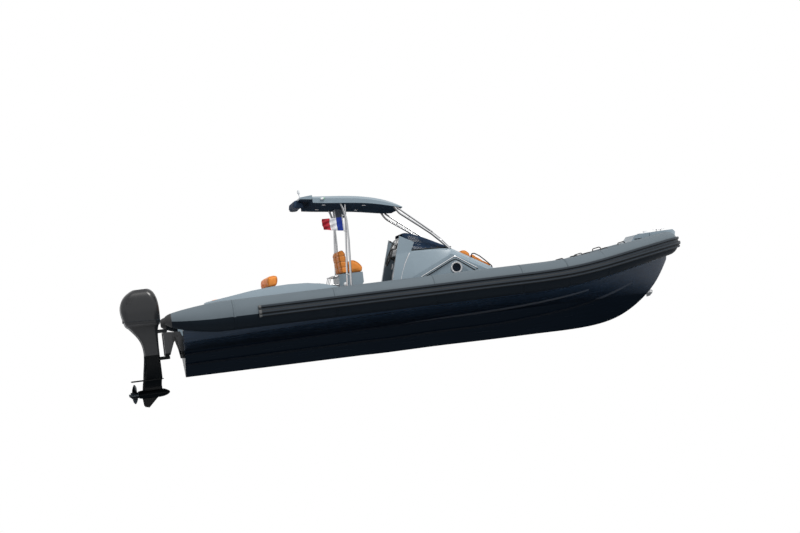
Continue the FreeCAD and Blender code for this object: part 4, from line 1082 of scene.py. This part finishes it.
PORTHOLE = (5.37, 0.95)
SCREW_RING = 0.098
GASKET_RING = 0.0835
GASKET_Y = -0.741
BOLT_STATIONS = (4.60, 4.72, 4.84, 4.96, 5.08)


def trim_windows():
    """Porthole screws and gaskets, and the bolts along the windscreen's sides."""
    screws = bmesh.new()
    x, z = PORTHOLE
    for step in range(12):
        angle = math.radians(30 * step + 15)
        start = (x + SCREW_RING * math.cos(angle), -1.0, z + SCREW_RING * math.sin(angle))
        place, normal = touch("porthole_rings", start, (0, 1, 0))
        screw_head(screws, place, normal, 0.0055)
    both_sides(screws)
    new_piece("porthole_screws", screws, "dark_steel")

    ring = []
    for degrees in range(0, 360, 20):
        angle = math.radians(degrees)
        ring.append((x + GASKET_RING * math.cos(angle), GASKET_Y, z + GASKET_RING * math.sin(angle)))
    gasket = tube(ring, 0.003, closed=True)
    both_sides(gasket)
    new_piece("porthole_gaskets", gasket, "strake_rubber")

    bolts = bmesh.new()
    for station in BOLT_STATIONS:
        place, normal = touch("windscreen", (station, -1.0, 1.40), (0, 1, 0))
        drum(bolts, place - normal * 0.002, normal, 0.011, 0.006, 0.0015, sides=16)
    both_sides(bolts)
    new_piece("windscreen_bolts", bolts, "black_plastic")


# Helm

DASH_LOW = Vector((4.295, 0.0, 1.420))
DASH_TOP = Vector((4.440, 0.0, 1.675))
DASH_UP = (DASH_TOP - DASH_LOW).normalized()
DASH_OUT = Vector((-DASH_UP.z, 0.0, DASH_UP.x))
SCREENS = ((-0.408, -0.062), (-0.048, 0.298))
BEZEL = 0.012
# each gauge: its Y, its share of the way up the face and its radius
GAUGES = ((0.39, 0.84, 0.027), (0.46, 0.84, 0.027), (-0.52, 0.62, 0.030))
GAUGE_RIM = 0.004


def on_dash(y, share, out=0.0):
    """A point on the sloping instrument face."""
    return DASH_LOW.lerp(DASH_TOP, share) + Vector((0, y, 0)) + DASH_OUT * out


def dash_bar(bm, y0, y1, u0, u1, depth, radius, base=-0.001):
    """A raised rounded plate on the instrument face, from y0 to y1 and from share u0 to u1 up it."""
    height = (DASH_TOP - DASH_LOW).length * (u1 - u0)
    made = bmesh.ops.create_cube(bm, size=1.0)["verts"]
    axes = Matrix((Vector((0, 1, 0)), DASH_UP, DASH_OUT)).transposed().to_4x4()
    centre = on_dash((y0 + y1) / 2, (u0 + u1) / 2, base + depth / 2)
    shape = Matrix.Translation(centre) @ axes @ Matrix.Diagonal((y1 - y0, height, depth, 1))
    bmesh.ops.transform(bm, matrix=shape, verts=made)
    round_edges(bm, radius, 2, edges_of(made))


def fit_dash():
    """Bezels of the two screens, rows of switches and three round gauges."""
    bezels = bmesh.new()
    for y0, y1 in SCREENS:
        for sides in ((y0, y1, 0.145, 0.19), (y0, y1, 0.83, 0.87), (y0, y0 + BEZEL, 0.16, 0.86),
                      (y1 - BEZEL, y1, 0.16, 0.86)):
            dash_bar(bezels, *sides, 0.019, 0.003)
    new_piece("screen_bezels", bezels, "black_plastic")

    switches = bmesh.new()
    for row in range(2):
        for number in range(5):
            y = 0.341 + number * 0.031
            low = 0.35 + row * 0.18
            dash_bar(switches, y, y + 0.022, low, low + 0.11, 0.007, 0.0015, 0.009)
    new_piece("switch_rockers", switches, "button_grey")

    rims = bmesh.new()
    faces = bmesh.new()
    for y, share, radius in GAUGES:
        drum(rims, on_dash(y, share, -0.001), DASH_OUT, radius, 0.012, 0.003, 36)
        drum(faces, on_dash(y, share, 0.0095), DASH_OUT, radius - GAUGE_RIM, 0.003, 0.0008, 36)
    new_piece("gauge_rims", rims, "stainless")
    new_piece("gauge_faces", faces, "screen_glass")


WHEEL_LEAN = math.radians(25)
WHEEL_CENTRE = Vector((4.16, -0.29, 1.31))
WHEEL_RIM = 0.1605


def fit_wheel():
    """A wrapped rim with its seam, and a domed centre cap on the wheel."""
    axis = Vector((math.cos(WHEEL_LEAN), 0, -math.sin(WHEEL_LEAN)))
    side = Vector((0, 1, 0))
    up = axis.cross(side)
    ring = []
    for degrees in range(0, 360, 12):
        angle = math.radians(degrees)
        way = side * math.cos(angle) + up * math.sin(angle)
        ring.append(WHEEL_CENTRE + way * WHEEL_RIM - axis * 0.0005)
    wrap = tube(ring, 0.0022, closed=True)
    drum(wrap, WHEEL_CENTRE - axis * 0.003, -axis, 0.032, 0.014, 0.005, 32)
    new_piece("wheel_cap_and_seam", wrap, "button_grey", body="wheel")


CREASE = ((4.205, 0.66), (4.254, 0.832), (4.295, 0.948), (4.358, 1.096), (4.438, 1.243), (4.500, 1.335))
# where the handrails' painted shadow runs on the console sides
RAIL_SHADOW_LINE = ((4.640, 0.800), (4.820, 0.874), (5.000, 0.960), (5.180, 1.042), (5.335, 1.112), (5.400, 1.098),
            (5.520, 1.012), (5.640, 0.928), (5.745, 0.850))
LOUVRE_FOOT = (4.66, -1.2, 0.50)


def console_line(stations, lift, radius):
    """A bar along both of the console's sides through these X and Z, lifted off its skin."""
    line = []
    for x, z in stations:
        place, normal = touch("console", (x, -1.2, z), (0, 1, 0))
        line.append(place + normal * lift)
    bar = tube(line, radius)
    both_sides(bar)
    return bar


def fit_console():
    """A white bar along the cheeks' crease as a painted highlight, a black bar under the handrails as their
    painted shadow, and the vent louvres.
    """
    # painted highlight: a white bar along each cheek's crease
    new_piece("cheek_crease_highlights", console_line(CREASE, 0.0, 0.0085), "white_canvas_and_highlight")
    # painted shadow: a black bar on the console side under each handrail
    rail_shadow = console_line(RAIL_SHADOW_LINE, 0.001, 0.0095)
    new_piece("handrail_painted_shadow", rail_shadow, "shadow_black")

    louvres = bmesh.new()
    for step in range(5):
        x, y, z = LOUVRE_FOOT
        place = touch("console", (x + step * 0.004, y, z + step * 0.028), (0, 1, 0))[0]
        block(louvres, place + Vector((-0.075, -0.006, -0.008)), place + Vector((0.075, 0.004, 0.004)), 0.002)
    both_sides(louvres)
    new_piece("cabin_vent_louvres", louvres, "black_plastic")


def fit_helm_seat():
    """The net of the front recess, caps on the seat's sides and the doors below the net."""
    net = bmesh.new()
    for step in range(13):
        y = -0.324 + step * 0.054
        add_to(net, tube([(3.592, y, 0.934), (3.585, y, 0.99), (3.592, y, 1.056)], 0.0022))
    for step in range(4):
        z = 0.948 + step * 0.032
        add_to(net, tube([(3.588, -0.336, z), (3.583, 0.0, z), (3.588, 0.336, z)], 0.0022))
    new_piece("seat_pocket_net", net, "black_plastic")

    caps = bmesh.new()
    for x, z, radius in ((3.227, 0.892, 0.038), (3.50, 0.56, 0.030)):
        place, normal = touch("helm_seat_base", (x, -1.0, z), (0, 1, 0))
        stack(caps, place, normal, ((-0.002, radius, 0.010, 0.003), (0.007, radius * 0.55, 0.006, 0.002)))
    both_sides(caps)
    new_piece("seat_side_caps", caps, "lamp")

    doors = bmesh.new()
    for y0, y1 in ((-0.40, -0.02), (0.02, 0.40)):
        block(doors, (3.5435, y0, 0.40), (3.5525, y1, 0.80), 0.004)
        drum(doors, (3.5500, y0 + (0.33 if y0 < 0 else 0.05), 0.72), (1, 0, 0), 0.018, 0.008, 0.002)
    new_piece("seat_locker_doors", doors, "deck_light")


# Decks

FILLER_CAP = ((-0.002, 0.036, 0.007, 0.002), (0.004, 0.026, 0.004, 0.001))
LIFT_RING = ((-0.002, 0.030, 0.006, 0.0015), (0.003, 0.018, 0.004, 0.001))
STEP_AFT = 8.48
STEP_FORE = 8.58


def fit_aft_deck():
    """Filler caps on the coamings, and the bench's locker doors with their latches."""
    caps = bmesh.new()
    for x, y in ((0.52, -1.05), (2.62, -1.10)):
        place, normal = touch("aft_coamings", (x, y, 1.6), (0, 0, -1))
        stack(caps, place, normal, FILLER_CAP, 36)
    both_sides(caps)
    new_piece("filler_caps", caps, "stainless")

    doors = bmesh.new()
    for y0, y1 in ((-0.84, -0.30), (-0.27, 0.27), (0.30, 0.84)):
        block(doors, (2.338, y0, 0.37), (2.352, y1, 0.62), 0.005)
    new_piece("bench_locker_doors", doors, "deck_light")

    latches = bmesh.new()
    for y in (-0.57, 0.0, 0.57):
        drum(latches, (2.350, y, 0.58), (1, 0, 0), 0.020, 0.008, 0.002)
    new_piece("locker_latches", latches, "stainless")


def fit_foredeck():
    """A non-skid step pad ahead of the fore cushions, and the locker lid's lift ring."""
    pads = bmesh.new()
    low = touch("hull", (STEP_AFT, -0.3, 1.5), (0, 0, -1))[0].z
    high = touch("hull", (STEP_FORE, -0.3, 1.5), (0, 0, -1))[0].z
    block(pads, (STEP_AFT, -0.42, low - 0.001), (STEP_FORE, 0.42, low + 0.003), 0.0015)
    for vert in pads.verts:
        vert.co.z += (high - low) * (vert.co.x - STEP_AFT) / 0.10
    new_piece("bow_step_pad", pads, "matting")

    ring = bmesh.new()
    place, normal = touch("locker_lid", (8.90, 0.0, 1.5), (0, 0, -1))
    stack(ring, place, normal, LIFT_RING, 32)
    new_piece("locker_lift_ring", ring, "stainless", body="lid")


# the fittings' screws: node, X of each row, how far off the middle and radius
BOW_SCREWS = (("bow_plate", (9.33, 9.52), 0.075, 0.008), ("bow_cleat", (9.672, 9.778), 0.019, 0.005))


def fit_bow():
    """Screws of the plate and cleat, and the slots in the moulding's sides."""
    screws = bmesh.new()
    for node, stations, half, radius in BOW_SCREWS:
        for x in stations:
            for y in (-half, half):
                place, normal = touch(node, (x, y, 1.4), (0, 0, -1))
                screw_head(screws, place, normal, radius)
    new_piece("bow_fitting_screws", screws, "dark_steel")

    slots = bmesh.new()
    for z in (1.0785, 1.0835, 1.0885):
        place = touch("bow_moulding", (9.18, -0.8, z - 0.012), (0, 1, 0))[0]
        block(slots, (9.102, place.y + 0.002, z), (9.260, place.y + 0.010, z + 0.0022), 0.0006)
    both_sides(slots)
    new_piece("bow_vent_slats", slots, "black_plastic")


def fit_hardtop():
    """Ceiling lamps, and the flanges at the feet of the aft legs."""
    lamps = bmesh.new()
    for x, y in ((2.98, -0.55), (2.98, 0.55), (3.75, -0.55), (3.75, 0.55)):
        place, normal = touch("hardtop_lining", (x, y, 1.8), (0, 0, 1))
        drum(lamps, place - normal * 0.001, normal, 0.038, 0.006, 0.002, 36)
    new_piece("ceiling_lamps", lamps, "lamp")

    flanges = bmesh.new()
    for x, y in ((3.236, -0.89), (3.155, -0.85)):
        drum(flanges, (x, y, 0.3248), (0, 0, 1), 0.046, 0.012, 0.003, 32)
    both_sides(flanges)
    new_piece("leg_foot_flanges", flanges, "stainless")


# Engines

ENGINES = (("stbd", -0.39), ("port", 0.39))
# across the cowl's joint and skirt
COWL_UP = (0.04, 0, 1)


def fit_engine(tag, y):
    """The cowl's rubber joint and skirt, its louvres and latch, and the propeller's nut."""
    motor = "motor_" + tag
    line = band("cowl_" + tag, (-0.7, y, 0.665), COWL_UP, 0.012, 0.0012, 0.0012)
    new_piece("cowl_joint_" + tag, line, "strake_rubber", body=motor)
    skirt = band("cowl_" + tag, (-0.7, y, 0.59), COWL_UP, 0.03, 0.001, 0.001)
    new_piece("cowl_skirt_" + tag, skirt, "bracket_paint", body=motor)
    louvres = bmesh.new()
    for side in (-1, 1):
        for step in range(6):
            start = (-0.93 + step * 0.012, y + side * 0.6, 1.01 + step * 0.022)
            place = touch("cowl_" + tag, start, (0, -side, 0))[0]
            low = place + Vector((-0.05, -0.004, -0.005))
            block(louvres, low, low + Vector((0.10, 0.008, 0.008)), 0.002)
    new_piece("cowl_louvres_" + tag, louvres, "black_plastic", body=motor)
    latch = bmesh.new()
    place = touch("cowl_" + tag, (-1.5, y, 0.70), (1, 0, 0))[0]
    block(latch, place + Vector((-0.010, -0.045, -0.028)), place + Vector((0.006, 0.045, 0.028)), 0.005)
    new_piece("cowl_latch_" + tag, latch, "bracket_paint", body=motor)
    nut = bmesh.new()
    drum(nut, (-1.082, y, -0.72), (-1, 0, 0), 0.026, 0.022, 0.002, 6)
    drum(nut, (-1.078, y, -0.72), (-1, 0, 0), 0.034, 0.006, 0.001, 32)
    new_piece("propeller_nut_" + tag, nut, "stainless", body="screw_" + tag)


# Floor, light and camera

AIM = Vector((4.55, 0.0, 0.0))
BEARING = math.radians(-10.0)
DISTANCE = 35.0
ROLL = math.radians(7.2)
FOCAL_PIXELS = 1785.0
PICTURE_WIDTH = 800
SENSOR = 36.0
AIM_SHIFT_RIGHT = -0.2875
AIM_SHIFT_UP = 1.0913
FLOOR_RADIUS = 30.0
FLOOR_GREY = (0.60, 0.61, 0.625)
HIGH_TONE = (0.93, 0.965, 1.0)
LOW_TONE = (0.10, 0.13, 0.16)
TONE_STRENGTH = 0.5
WHITE = (1.0, 1.0, 1.0)
LAMP_STRENGTH = 2.7
LAMP_COLOUR = (1.0, 0.975, 0.94)
LAMP_FROM = Vector((0.45, -0.75, 1.15))
LAMP_SPREAD = math.radians(24)


def lay_floor():
    """A plain pale floor at the height of the waterline."""
    finish = Finish("Floor_Pale", Specular_IOR_Level=0.1)
    finish.colour(FLOOR_GREY)
    finish.roughness(0.7 + finish.noise(0.6) * 0.1)
    bm = bmesh.new()
    place = Matrix.Translation(AIM)
    bmesh.ops.create_circle(bm, cap_ends=True, segments=128, radius=FLOOR_RADIUS, matrix=place)
    floor = new_object("floor", bm)
    floor.data.materials.append(finish.material)


def light_world():
    """White behind the boat, and for its light a pale upper half over a dark lower one."""
    world = bpy.data.worlds.new("Plain_World")
    SCENE.world = world
    world.use_nodes = True
    nodes = NodeTree(world.node_tree)
    toward = nodes.add("TexCoord", {}, {}, "Generated")
    rise = nodes.add("SeparateXYZ", {}, {0: toward}, "Z").step(-0.10, 0.06)
    tone = nodes.blend(rise, LOW_TONE, HIGH_TONE)
    lit = nodes.add("Background", {}, {"Color": tone, "Strength": TONE_STRENGTH})
    white = nodes.add("Background", {}, {"Color": WHITE, "Strength": 1.0})
    seen, passed, mirrored = [nodes.add("LightPath", {}, {}, "Is %s Ray" % kind)
                              for kind in ("Camera", "Transmission", "Glossy")]
    share = seen.either(passed).either(mirrored * rise)
    shown = nodes.add("MixShader", {}, {0: share, 1: lit, 2: white})
    nodes.put(nodes.tree.nodes["World Output"].inputs["Surface"], shown)


def hang_lamp():
    """One soft high lamp off the starboard bow, like a veiled sun."""
    lamp = bpy.data.lights.new("high_lamp", "SUN")
    lamp.energy = LAMP_STRENGTH
    lamp.angle = LAMP_SPREAD
    lamp.color = LAMP_COLOUR
    holder = bpy.data.objects.new("high_lamp", lamp)
    SCENE.collection.objects.link(holder)
    holder.rotation_euler = LAMP_FROM.to_track_quat("Z", "Y").to_euler()


def set_camera():
    """The photograph's view: level with the waterline, far off the starboard side, and tilted."""
    back = Vector((math.sin(BEARING), -math.cos(BEARING), 0.0))
    level = Vector((math.cos(BEARING), math.sin(BEARING), 0.0))
    upright = Vector((0.0, 0.0, 1.0))
    right = level * math.cos(ROLL) - upright * math.sin(ROLL)
    up = level * math.sin(ROLL) + upright * math.cos(ROLL)
    eye = AIM + back * DISTANCE
    aim = AIM + right * AIM_SHIFT_RIGHT + up * AIM_SHIFT_UP
    backward = (eye - aim).normalized()
    right = up.cross(backward).normalized()
    up = backward.cross(right)
    camera = bpy.data.cameras.new("camera")
    camera.sensor_width = SENSOR
    camera.sensor_fit = "HORIZONTAL"
    camera.lens = SENSOR * FOCAL_PIXELS / PICTURE_WIDTH
    camera.clip_end = 500.0
    holder = bpy.data.objects.new("camera", camera)
    SCENE.collection.objects.link(holder)
    turn = Matrix((right, up, backward)).transposed().to_4x4()
    holder.matrix_world = Matrix.Translation(eye) @ turn
    SCENE.camera = holder


set_camera()
light_world()
hang_lamp()
lay_floor()
dress_nodes()
upholster()
furl_awning()
fly_ensign()
trim_collar()
trim_strake()
trim_windows()
fit_dash()
fit_wheel()
fit_console()
fit_helm_seat()
fit_aft_deck()
fit_foredeck()
fit_bow()
fit_hardtop()
for tag, y in ENGINES:
    fit_engine(tag, y)

SCENE.view_settings.view_transform = "Standard"
